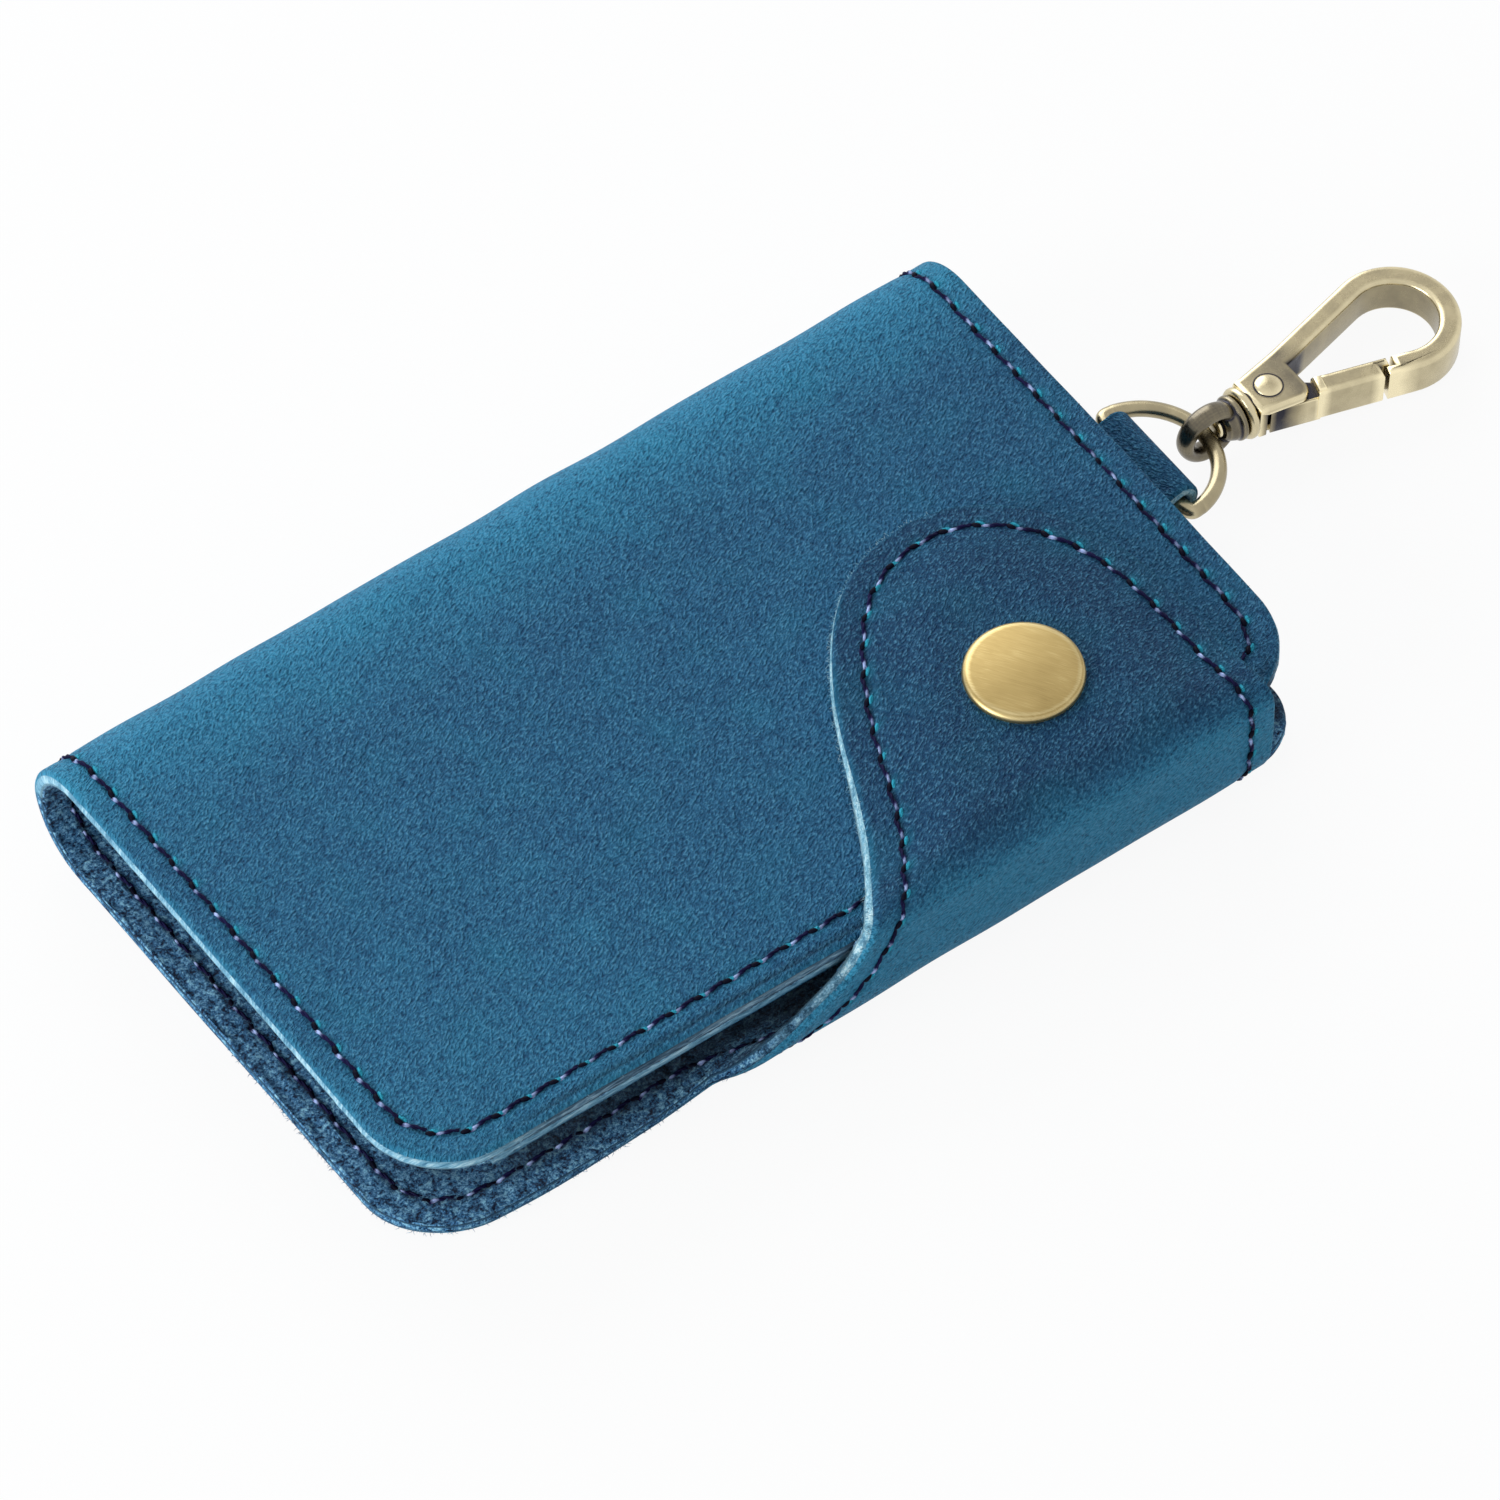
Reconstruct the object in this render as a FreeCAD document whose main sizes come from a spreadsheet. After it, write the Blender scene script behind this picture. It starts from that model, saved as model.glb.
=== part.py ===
import FreeCAD, Part
import os
import Sketcher

# Leather key case with a flap and snap, a row of six key hooks and a swivel snap hook.
# Frame: +X along the case towards the snap hook, +Y towards the folded spine, +Z up.
# The origin is the middle of the back's outer face, on the surface that the case lies on.
# All lengths are millimetres and all angles degrees.

DRIVING = {
    # outer cover, one sheet of leather that bends at the spine and at the flap
    "case_length": 110.0,
    "case_width": 66.6,
    "leather": 1.8,
    "fold_radius": 7.4,
    "corner_radius": 9.5,
    "back_inset": 0.7,
    "back_end_radius": 6.0,
    "crease_gap": 0.24,
    # flap
    "flap_end_inset": 7.3,
    "flap_reach": 38.4,
    "flap_tip_radius": 17.3,
    "flap_slope_angle": 150.0,
    "flap_wall_gap": 0.45,
    "flap_low_radius": 7.0,
    "flap_high_radius": 5.0,
    "flap_flare": 15.0,
    "flap_relief": 0.4,
    "flare_share": 0.62,
    # card pocket inside the front
    "pocket_leather": 1.2,
    "pocket_play": 0.15,
    "pocket_depth": 42.0,
    "pocket_hem": 5.0,
    "pocket_end_inset": 9.0,
    "pocket_near_inset": 0.4,
    # snap fastener
    "snap_end_inset": 19.7,
    "snap_reach": 15.15,
    "cap_radius": 6.2,
    "cap_height": 1.3,
    "cap_rim": 0.5,
    "snap_post_radius": 1.4,
    "snap_plate": 0.35,
    "socket_radius": 5.0,
    "socket_height": 1.45,
    "stud_flange_radius": 4.5,
    "stud_flange": 0.4,
    "stud_neck_radius": 2.2,
    "stud_head_radius": 2.7,
    "stud_play": 0.3,
    "snap_gap": 0.15,
    "snap_base_radius": 4.0,
    "snap_base_height": 0.6,
    # row of key hooks
    "key_count": 6.0,
    "key_hook_gap": 1.0,
    "key_centre_y": -3.5,
    "key_plate_gap": 0.6,
    "key_rail_thickness": 1.0,
    "key_axis_height": 4.2,
    "key_rail_edge": 2.2,
    "key_plate_end": 4.0,
    "key_plate_width": 11.0,
    "key_plate_thickness": 0.8,
    "key_post_radius": 0.8,
    "key_post_play": 0.05,
    "key_end_play": 0.2,
    "key_head_radius": 1.5,
    "key_head_length": 0.75,
    "key_neck_width": 2.2,
    "key_neck_length": 3.0,
    "key_shoulder_length": 3.0,
    "key_side_length": 11.0,
    "key_loop_width": 6.2,
    "key_bar": 1.4,
    "key_thickness": 1.5,
    "key_gap_start": 1.6,
    "key_gap_length": 6.6,
    "key_gate_thickness": 0.6,
    "key_gate_height": 1.1,
    "key_gate_lap": 1.2,
    "key_gate_play": 0.15,
    "plate_rivet_radius": 1.25,
    "plate_rivet_head_radius": 2.9,
    "plate_rivet_head": 0.6,
    "plate_rivet_end_inset": 3.6,
    "plate_rivet_side_inset": 4.2,
    # leather loop that carries the D-ring
    "tab_width": 12.2,
    "tab_leather": 1.3,
    "tab_y": 2.2,
    "tab_tail": 7.4,
    "tab_overhang": 5.4,
    "tab_rise": 4.6,
    "bar_play": 0.25,
    # D-ring
    "ring_side_gap": 0.65,
    "ring_wire_radius": 0.85,
    # swivel eye
    "eye_head_gap": 0.3,
    "eye_wire_radius": 0.8,
    "eye_offset": 0.45,
    "eye_wire_gap": 0.35,
    "eye_boss_radius": 2.2,
    "eye_boss_length": 2.2,
    "swivel_radius": 1.0,
    "swivel_play": 0.05,
    "swivel_end_play": 0.15,
    "swivel_head_lip": 0.15,
    "swivel_head_length": 0.5,
    # snap hook
    "hook_thickness": 4.4,
    "hook_edge": 0.4,
    "floor_gap": 0.05,
    "hook_base_width": 5.2,
    "hook_collar": 1.5,
    "hook_collar_width": 5.8,
    "hook_collar_gap": 0.7,
    "cheek_length": 7.4,
    "cheek_width": 6.4,
    "cheek_corner": 1.4,
    "bow_centre": 20.2,
    "bow_radius": 6.9,
    "bow_bar": 2.35,
    "bow_tangent_angle": 105.0,
    "slot_start": 2.0,
    "slot_side": 1.7,
    "pivot_radius": 1.0,
    "pivot_play": 0.05,
    "pivot_head_radius": 1.45,
    "pivot_head": 0.4,
    "gate_root_height": 2.4,
    "gate_side_gap": 0.1,
    "gate_root_gap": 0.4,
    "gate_root_radius": 1.5,
    "gate_end_gap": 0.5,
    "gate_lip_gap": 0.2,
    "nose_length": 2.4,
    "nose_lip": 1.0,
    "gate_rear_gap": 0.85,
    "gate_tail": 2.2,
    "spring_thickness": 0.3,
    "spring_height": 1.2,
    "spring_root_inset": 1.0,
    "spring_reach": 2.9,
    "spring_play": 0.05,
    # one overrun serves all the cuts
    "overrun": 4.0,
}

document = FreeCAD.newDocument("key_case")
sheet = document.addObject("Spreadsheet::Sheet", "dims")
for row, (alias, number) in enumerate(DRIVING.items(), start=1):
    sheet.set(f"A{row}", alias)
    sheet.set(f"B{row}", str(number))
    sheet.setAlias(f"B{row}", alias)
document.recompute()

# Places that several pieces share, as expressions over the sheet
HALF_LENGTH = "(dims.case_length / 2)"
HALF_WIDTH = "(dims.case_width / 2)"
FOLD_Y = f"({HALF_WIDTH} - dims.fold_radius)"
FRONT_TOP = "(2 * dims.fold_radius)"
FRONT_UNDER = f"({FRONT_TOP} - dims.leather)"
FLAP_LIFT = "(dims.stud_flange + dims.snap_gap + dims.socket_height)"
FLAP_UNDER = f"({FRONT_TOP} + {FLAP_LIFT})"
FLAP_TOP = f"({FLAP_UNDER} + dims.leather)"
WALL_Y = f"(-{HALF_WIDTH} - dims.flap_wall_gap - dims.leather)"
LOW_Y = f"({WALL_Y} + dims.flap_low_radius)"
HIGH_Y = f"({WALL_Y} + dims.flap_high_radius)"
HIGH_Z = f"({FLAP_TOP} - dims.flap_high_radius)"
FLAP_RIGHT = f"({HALF_LENGTH} - dims.flap_end_inset)"
TIP_X = f"({FLAP_RIGHT} - dims.flap_tip_radius)"
TIP_Y = f"({WALL_Y} + dims.flap_reach - dims.flap_tip_radius)"
SLOPE_X = f"({TIP_X} + dims.flap_tip_radius * cos(dims.flap_slope_angle))"
SLOPE_Y = f"({TIP_Y} + dims.flap_tip_radius * sin(dims.flap_slope_angle))"
NECK_X = f"({SLOPE_X} + ({SLOPE_Y} - {HIGH_Y}) * tan(dims.flap_slope_angle))"
ROOT_X = f"({NECK_X} - dims.flap_flare)"
SNAP_X = f"({FLAP_RIGHT} - dims.snap_end_inset)"
SNAP_Y = f"({WALL_Y} + dims.snap_reach)"
POCKET_SLOT = "(dims.snap_base_height + dims.pocket_play)"
POCKET_TOP = f"({FRONT_UNDER} - {POCKET_SLOT})"
KEY_Z = "(dims.leather + dims.key_axis_height)"
KEY_PITCH = "(dims.key_loop_width + dims.key_hook_gap)"
KEY_PLATE_LENGTH = f"({KEY_PITCH} * (dims.key_count - 1) + 2 * dims.key_plate_end)"
KEY_LOW_Y = f"(dims.key_centre_y - {KEY_PLATE_LENGTH} / 2)"
TAIL_X = f"({HALF_LENGTH} - dims.tab_tail)"
KEY_RAIL_X = f"({TAIL_X} - dims.key_plate_gap - dims.key_plate_width)"
RIVET_X = f"({KEY_RAIL_X} + dims.key_plate_width - dims.plate_rivet_side_inset)"
RIVET_REACH = f"({KEY_PLATE_LENGTH} / 2 - dims.plate_rivet_end_inset)"
BORE_RADIUS = "(dims.ring_wire_radius + dims.bar_play)"
TAB_RADIUS = f"({BORE_RADIUS} + dims.tab_leather)"
BAR_X = f"({HALF_LENGTH} + dims.tab_overhang)"
BAR_Z = f"(dims.leather + {TAB_RADIUS})"
# along the hook's own axis, from the D-ring's bar outwards
RING_RADIUS = "(dims.tab_width / 2 + dims.ring_side_gap + dims.ring_wire_radius)"
EYE_X = f"({RING_RADIUS} + dims.eye_offset)"
HEAD_START = f"({RING_RADIUS} + dims.ring_wire_radius + dims.eye_wire_gap)"
HEAD_END = f"({HEAD_START} + dims.swivel_head_length)"
HEAD_RADIUS = "(dims.swivel_radius + dims.swivel_head_lip)"
EYE_INNER = f"(sqrt(pow({HEAD_RADIUS}, 2) + pow({HEAD_END} - {EYE_X}, 2)) + dims.eye_head_gap)"
EYE_RADIUS = f"({EYE_INNER} + dims.eye_wire_radius)"
BOSS_START = f"({HEAD_END} + dims.swivel_end_play)"
BOSS_END = f"({BOSS_START} + dims.eye_boss_length)"
HOOK_X = f"({BOSS_END} + dims.swivel_end_play)"
BOW_X = f"({HOOK_X} + dims.bow_centre)"
PIVOT_X = f"({HOOK_X} + dims.slot_start + dims.gate_root_gap + dims.gate_root_radius)"
HOOK_HALF = "(dims.hook_thickness / 2)"
HOOK_REACH = f"({BOW_X} + dims.bow_radius)"
HOOK_TILT = f"asin(({BAR_Z} - {HOOK_HALF} - dims.floor_gap) / {HOOK_REACH})"
BOW_INNER = "(dims.bow_radius - dims.bow_bar)"
ARM_START = f"(dims.bow_centre + {BOW_INNER} * cos(dims.bow_tangent_angle))"
ARM_LENGTH = f"(({ARM_START} - dims.cheek_length) / sin(dims.bow_tangent_angle))"
GATE_REAR = f"({ARM_LENGTH} - dims.gate_rear_gap)"
NOSE_REACH = "(dims.nose_length + dims.nose_lip)"
GATE_ROOT = f"({GATE_REAR} - dims.hook_edge)"

sub_parts = []


def size(expression):
    """Return the number that an expression over the sheet gives."""
    return float(sheet.evalExpression(expression))


def crease_angle(radius):
    """Half the angle of the gap that a crease leaves in a bend of this outer radius."""
    return f"(dims.crease_gap / (2 * {radius}) * 180 / pi)"


def on_circle(across, up, radius, angle):
    """A point of a circle, as two expressions."""
    return f"({across} + {radius} * cos({angle}))", f"({up} + {radius} * sin({angle}))"


def new_body(label):
    """Add a body that is one sub-part of the case."""
    body = document.addObject("PartDesign::Body", label)
    body.Label = label
    sub_parts.append(body)
    return body


def place(item, across="0", along="0", up="0", axis=None, angle=None):
    """Bind the placement of a sub-part to the sheet."""
    if axis is not None:
        item.Placement = FreeCAD.Placement(FreeCAD.Vector(), FreeCAD.Rotation(axis, size(angle)))
        item.setExpression("Placement.Rotation.Angle", angle)
    for name, expression in (("x", across), ("y", along), ("z", up)):
        if expression != "0":
            item.setExpression(f"Placement.Base.{name}", expression)


def place_on_bar(item):
    """Place a piece of the hook chain on the D-ring's bar, leaning until the bow meets the floor."""
    place(item, BAR_X, "dims.tab_y", BAR_Z, FreeCAD.Vector(0, 1, 0), HOOK_TILT)


def new_sketch(body, name, role, lift):
    """Add a sketch on one of the body's own origin planes, lifted along its normal."""
    sketch = body.newObject("Sketcher::SketchObject", f"{body.Label}_{name}")
    plane = [feature for feature in body.Origin.OriginFeatures if feature.Role == role][0]
    sketch.AttachmentSupport = (plane, [""])
    sketch.MapMode = "FlatFace"
    if lift != "0":
        sketch.setExpression("AttachmentOffset.Base.z", lift)
    return sketch


def fix_point(sketch, geometry, position, across, up):
    """Tie a point of the sketch to two expressions over the sheet."""
    for kind, expression in (("DistanceX", across), ("DistanceY", up)):
        number = sketch.addConstraint(
            Sketcher.Constraint(kind, -1, 1, geometry, position, size(expression))
        )
        if expression != "0":
            sketch.setExpression(f"Constraints[{number}]", expression)


def arc_between(start, end, radius, turn):
    """An arc of under a half circle from start to end that turns left or right."""
    chord = end - start
    side = FreeCAD.Vector(-chord.y, chord.x, 0).normalize()
    rise = max(radius**2 - (chord.Length / 2) ** 2, 0) ** 0.5
    sign = 1 if turn == "left" else -1
    centre = (start + end) * 0.5 + side * (rise * sign)
    circle = Part.Circle(centre, FreeCAD.Vector(0, 0, 1), radius)
    first, last = (start, end) if turn == "left" else (end, start)
    return Part.ArcOfCircle(circle, circle.parameter(first), circle.parameter(last))


def outline(body, name, role, corners, lift="0"):
    """Draw a closed outline.

    Each corner is (across, up), reached by a line, or (across, up, radius, turn), reached by an arc.
    """
    sketch = new_sketch(body, name, role, lift)
    points = [FreeCAD.Vector(size(corner[0]), size(corner[1]), 0) for corner in corners]
    tails = []
    heads = []
    for index, corner in enumerate(corners):
        start = points[index - 1]
        end = points[index]
        if len(corner) == 2:
            sketch.addGeometry(Part.LineSegment(start, end), False)
            left_turn = True
        else:
            left_turn = corner[3] == "left"
            sketch.addGeometry(arc_between(start, end, size(corner[2]), corner[3]), False)
        tails.append(1 if left_turn else 2)
        heads.append(2 if left_turn else 1)
    for index in range(len(corners)):
        following = (index + 1) % len(corners)
        sketch.addConstraint(
            Sketcher.Constraint("Coincident", index, heads[index], following, tails[following])
        )
    for index, corner in enumerate(corners):
        fix_point(sketch, index, heads[index], corner[0], corner[1])
        if len(corner) > 2:
            number = sketch.addConstraint(Sketcher.Constraint("Radius", index, size(corner[2])))
            sketch.setExpression(f"Constraints[{number}]", corner[2])
    return sketch


def circles(body, name, role, rounds, lift="0"):
    """Draw circles, each (across, up, radius)."""
    sketch = new_sketch(body, name, role, lift)
    for index, (across, up, radius) in enumerate(rounds):
        centre = FreeCAD.Vector(size(across), size(up), 0)
        sketch.addGeometry(Part.Circle(centre, FreeCAD.Vector(0, 0, 1), size(radius)), False)
        fix_point(sketch, index, 3, across, up)
        number = sketch.addConstraint(Sketcher.Constraint("Radius", index, size(radius)))
        sketch.setExpression(f"Constraints[{number}]", radius)
    return sketch


def box_corners(left, right, low, high):
    """The corners of an upright rectangle, as expressions."""
    return [(left, low), (right, low), (right, high), (left, high)]


def pad(body, sketch, length, symmetric=False):
    """Pad a sketch along its normal, or evenly to both sides."""
    feature = body.newObject("PartDesign::Pad", f"{sketch.Name}_pad")
    feature.Profile = sketch
    feature.SideType = "Symmetric" if symmetric else "One side"
    feature.setExpression("Length", length)
    sketch.Visibility = False
    document.recompute()
    return feature


def pocket(body, sketch, length):
    """Cut a sketch evenly to both sides, and check that it takes material away."""
    before = body.Shape.Volume
    feature = body.newObject("PartDesign::Pocket", f"{sketch.Name}_cut")
    feature.Profile = sketch
    feature.SideType = "Symmetric"
    feature.setExpression("Length", length)
    sketch.Visibility = False
    document.recompute()
    if body.Shape.Volume >= before:
        raise RuntimeError(f"{feature.Name} cuts nothing")
    return feature


def revolve(body, sketch):
    """Turn a half outline about the upright axis of its sketch."""
    feature = body.newObject("PartDesign::Revolution", f"{sketch.Name}_turned")
    feature.Profile = sketch
    feature.ReferenceAxis = (sketch, ["V_Axis"])
    feature.Angle = 360
    sketch.Visibility = False
    document.recompute()
    return feature


def soften(body, radius, height):
    """Round the edges of the body's flat top and bottom faces, which lie this far from its middle plane."""
    feature = body.Tip
    level = size(height)
    names = []
    for number, face in enumerate(feature.Shape.Faces, start=1):
        flat = isinstance(face.Surface, Part.Plane)
        if flat and abs(abs(face.CenterOfMass.z) - level) < Part.Precision.confusion():
            names.append(f"Face{number}")
    fillet = body.newObject("PartDesign::Fillet", f"{body.Label}_soft_edges")
    fillet.Base = (feature, names)
    fillet.setExpression("Radius", radius)
    document.recompute()
    return fillet


def band_end(across, up, radius, angle):
    """Where a bend of leather ends at an angle: its outer and its inner point."""
    inner = f"({radius} - dims.leather)"
    return on_circle(across, up, radius, angle), on_circle(across, up, inner, angle)


def make_back_panel():
    """Back of the cover, with the lower halves of the spine's bend and of the flap's bend."""
    body = new_body("back_panel")
    near = f"(-{HALF_WIDTH} + dims.back_inset)"
    left_notch = f"({ROOT_X} - dims.flap_relief)"
    right_notch = f"({FLAP_RIGHT} + dims.flap_relief)"
    plan = outline(body, "plan", "XY_Plane", [
        (HALF_LENGTH, FOLD_Y),
        (f"-{HALF_LENGTH}", FOLD_Y),
        (f"-{HALF_LENGTH}", f"({near} + dims.corner_radius)"),
        (f"(-{HALF_LENGTH} + dims.corner_radius)", near, "dims.corner_radius", "left"),
        (left_notch, near),
        (left_notch, LOW_Y),
        (right_notch, LOW_Y),
        (right_notch, near),
        (f"({HALF_LENGTH} - dims.back_end_radius)", near),
        (HALF_LENGTH, f"({near} + dims.back_end_radius)", "dims.back_end_radius", "left"),
    ])
    pad(body, plan, "dims.leather")
    angle = f"(-45 - {crease_angle('dims.fold_radius')})"
    outer, inner = band_end(FOLD_Y, "dims.fold_radius", "dims.fold_radius", angle)
    spine = outline(body, "spine_bend", "YZ_Plane", [
        (FOLD_Y, "0"),
        (*outer, "dims.fold_radius", "left"),
        inner,
        (FOLD_Y, "dims.leather", "(dims.fold_radius - dims.leather)", "right"),
    ], f"-{HALF_LENGTH}")
    pad(body, spine, "dims.case_length")
    angle = f"(225 + {crease_angle('dims.flap_low_radius')})"
    outer, inner = band_end(LOW_Y, "dims.flap_low_radius", "dims.flap_low_radius", angle)
    flap = outline(body, "flap_bend", "YZ_Plane", [
        (LOW_Y, "0"),
        (*outer, "dims.flap_low_radius", "right"),
        inner,
        (LOW_Y, "dims.leather", "(dims.flap_low_radius - dims.leather)", "left"),
    ], ROOT_X)
    pad(body, flap, f"({FLAP_RIGHT} - {ROOT_X})")
    middle = "dims.key_centre_y"
    places = [f"({middle} - {RIVET_REACH})", f"({middle} + {RIVET_REACH})"]
    holes = [(RIVET_X, along, "dims.plate_rivet_radius") for along in places]
    pocket(body, circles(body, "rivet_holes", "XY_Plane", holes), "dims.overrun")
    sinks = [(RIVET_X, along, "dims.plate_rivet_head_radius") for along in places]
    pocket(body, circles(body, "rivet_sinks", "XY_Plane", sinks), "(2 * dims.plate_rivet_head)")


def make_spine_fold():
    """Middle of the spine's bend, between the two creases."""
    body = new_body("spine_fold")
    gap = crease_angle("dims.fold_radius")
    low_outer, low_inner = band_end(FOLD_Y, "dims.fold_radius", "dims.fold_radius", f"(-45 + {gap})")
    high_outer, high_inner = band_end(FOLD_Y, "dims.fold_radius", "dims.fold_radius", f"(45 - {gap})")
    band = outline(body, "band", "YZ_Plane", [
        low_outer,
        (*high_outer, "dims.fold_radius", "left"),
        high_inner,
        (*low_inner, "(dims.fold_radius - dims.leather)", "right"),
    ], f"-{HALF_LENGTH}")
    pad(body, band, "dims.case_length")


def make_front_panel():
    """Front of the cover, with the upper half of the spine's bend and the stud's hole."""
    body = new_body("front_panel")
    near = f"-{HALF_WIDTH}"
    plan = outline(body, "plan", "XY_Plane", [
        (HALF_LENGTH, FOLD_Y),
        (f"-{HALF_LENGTH}", FOLD_Y),
        (f"-{HALF_LENGTH}", f"({near} + dims.corner_radius)"),
        (f"(-{HALF_LENGTH} + dims.corner_radius)", near, "dims.corner_radius", "left"),
        (f"({HALF_LENGTH} - dims.corner_radius)", near),
        (HALF_LENGTH, f"({near} + dims.corner_radius)", "dims.corner_radius", "left"),
    ], FRONT_UNDER)
    pad(body, plan, "dims.leather")
    angle = f"(45 + {crease_angle('dims.fold_radius')})"
    outer, inner = band_end(FOLD_Y, "dims.fold_radius", "dims.fold_radius", angle)
    bend = outline(body, "spine_bend", "YZ_Plane", [
        outer,
        (FOLD_Y, FRONT_TOP, "dims.fold_radius", "left"),
        (FOLD_Y, FRONT_UNDER),
        (*inner, "(dims.fold_radius - dims.leather)", "right"),
    ], f"-{HALF_LENGTH}")
    pad(body, bend, "dims.case_length")
    hole = circles(body, "stud_hole", "XY_Plane", [(SNAP_X, SNAP_Y, "dims.snap_post_radius")], FRONT_TOP)
    pocket(body, hole, "dims.overrun")


def make_front_pocket():
    """Card pocket inside the front, sewn down along its hem on three sides."""
    body = new_body("front_pocket")
    left = f"(-{HALF_LENGTH} + dims.pocket_end_inset)"
    right = f"({HALF_LENGTH} - dims.pocket_end_inset)"
    near = f"(-{HALF_WIDTH} + dims.pocket_near_inset)"
    far = f"({near} + dims.pocket_depth)"
    low = f"({POCKET_TOP} - dims.pocket_leather)"
    sheet_plan = outline(body, "sheet", "XY_Plane", box_corners(left, right, near, far), low)
    pad(body, sheet_plan, "dims.pocket_leather")
    inner_left = f"({left} + dims.pocket_hem)"
    inner_right = f"({right} - dims.pocket_hem)"
    inner_near = f"({near} + dims.pocket_hem)"
    hem_plan = outline(body, "hem", "XY_Plane", [
        (left, near),
        (right, near),
        (right, far),
        (inner_right, far),
        (inner_right, inner_near),
        (inner_left, inner_near),
        (inner_left, far),
        (left, far),
    ], POCKET_TOP)
    pad(body, hem_plan, POCKET_SLOT)


def make_flap_side():
    """Side of the flap, between its two creases, flared at the open end."""
    body = new_body("flap_side")
    low = "dims.flap_low_radius"
    high = "dims.flap_high_radius"
    low_outer, low_inner = band_end(LOW_Y, low, low, f"(225 - {crease_angle(low)})")
    high_outer, high_inner = band_end(HIGH_Y, HIGH_Z, high, f"(135 + {crease_angle(high)})")
    inner_wall = f"({WALL_Y} + dims.leather)"
    band = outline(body, "band", "YZ_Plane", [
        low_outer,
        (WALL_Y, low, low, "right"),
        (WALL_Y, HIGH_Z),
        (*high_outer, high, "right"),
        high_inner,
        (inner_wall, HIGH_Z, f"({high} - dims.leather)", "left"),
        (inner_wall, low),
        (*low_inner, f"({low} - dims.leather)", "left"),
    ], ROOT_X)
    pad(body, band, f"({FLAP_RIGHT} - {ROOT_X})")
    foot = low_outer[1]
    top = high_outer[1]
    beyond = f"({ROOT_X} - dims.overrun)"
    reach = f"(dims.flare_share * sqrt(pow(dims.flap_flare, 2) + pow({top} - {foot}, 2)))"
    flare = outline(body, "flare", "XZ_Plane", [
        (beyond, foot),
        (ROOT_X, foot),
        (NECK_X, top, reach, "left"),
        (NECK_X, f"({top} + dims.overrun)"),
        (beyond, f"({top} + dims.overrun)"),
    ])
    pocket(body, flare, "(2 * dims.case_width)")


def make_flap_tip():
    """Top of the flap, with the upper half of its bend and the cap's hole."""
    body = new_body("flap_tip")
    high = "dims.flap_high_radius"
    tip = "dims.flap_tip_radius"
    plan = outline(body, "plan", "XY_Plane", [
        (FLAP_RIGHT, HIGH_Y),
        (FLAP_RIGHT, TIP_Y),
        (TIP_X, f"({TIP_Y} + {tip})", tip, "left"),
        (SLOPE_X, SLOPE_Y, tip, "left"),
        (NECK_X, HIGH_Y),
    ], FLAP_UNDER)
    pad(body, plan, "dims.leather")
    outer, inner = band_end(HIGH_Y, HIGH_Z, high, f"(135 - {crease_angle(high)})")
    bend = outline(body, "bend", "YZ_Plane", [
        outer,
        (HIGH_Y, FLAP_TOP, high, "right"),
        (HIGH_Y, FLAP_UNDER),
        (*inner, f"({high} - dims.leather)", "left"),
    ], NECK_X)
    pad(body, bend, f"({FLAP_RIGHT} - {NECK_X})")
    hole = circles(body, "cap_hole", "XY_Plane", [(SNAP_X, SNAP_Y, "dims.snap_post_radius")], FLAP_TOP)
    pocket(body, hole, "dims.overrun")


def make_snap():
    """Snap fastener: cap and socket on the flap, stud and its base on the front."""
    post = "dims.snap_post_radius"
    cap = new_body("snap_cap")
    tail = "(-dims.leather - dims.snap_plate)"
    flank = "(dims.cap_height - dims.cap_rim)"
    shoulder = "(dims.cap_radius - dims.cap_rim)"
    revolve(cap, outline(cap, "half", "XZ_Plane", [
        ("0", tail),
        (post, tail),
        (post, "0"),
        ("dims.cap_radius", "0"),
        ("dims.cap_radius", flank),
        (shoulder, "dims.cap_height", "dims.cap_rim", "left"),
        ("0", "dims.cap_height"),
    ]))
    place(cap, SNAP_X, SNAP_Y, FLAP_TOP)

    socket = new_body("snap_socket")
    bore = "(dims.stud_head_radius + dims.stud_play)"
    revolve(socket, outline(socket, "half", "XZ_Plane", [
        (post, "-dims.snap_plate"),
        (bore, "-dims.snap_plate"),
        (bore, "-dims.socket_height"),
        ("dims.socket_radius", "-dims.socket_height"),
        ("dims.socket_radius", "0"),
        (post, "0"),
    ]))
    place(socket, SNAP_X, SNAP_Y, FLAP_UNDER)

    stud = new_body("snap_stud")
    lead = "(dims.stud_head_radius - dims.stud_neck_radius)"
    top = f"({FLAP_LIFT} - dims.snap_plate - dims.snap_gap)"
    revolve(stud, outline(stud, "half", "XZ_Plane", [
        ("0", "-dims.leather"),
        (post, "-dims.leather"),
        (post, "0"),
        ("dims.stud_flange_radius", "0"),
        ("dims.stud_flange_radius", "dims.stud_flange"),
        ("dims.stud_neck_radius", "dims.stud_flange"),
        ("dims.stud_head_radius", f"(dims.stud_flange + {lead})"),
        ("dims.stud_head_radius", f"({top} - {lead})"),
        ("dims.stud_neck_radius", top),
        ("0", top),
    ]))
    place(stud, SNAP_X, SNAP_Y, FRONT_TOP)

    base = new_body("snap_base")
    edge = "(dims.snap_base_radius - dims.snap_base_height / 2)"
    revolve(base, outline(base, "half", "XZ_Plane", [
        ("0", "-dims.snap_base_height"),
        (edge, "-dims.snap_base_height"),
        ("dims.snap_base_radius", "(-dims.snap_base_height / 2)"),
        ("dims.snap_base_radius", "0"),
        ("0", "0"),
    ]))
    place(base, SNAP_X, SNAP_Y, FRONT_UNDER)


def key_places():
    """Where the key hooks stand along Y, as expressions."""
    count = int(size("dims.key_count"))
    first = f"(dims.key_centre_y - {KEY_PITCH} * (dims.key_count - 1) / 2)"
    return [f"({first} + {number} * {KEY_PITCH})" for number in range(count)]


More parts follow.
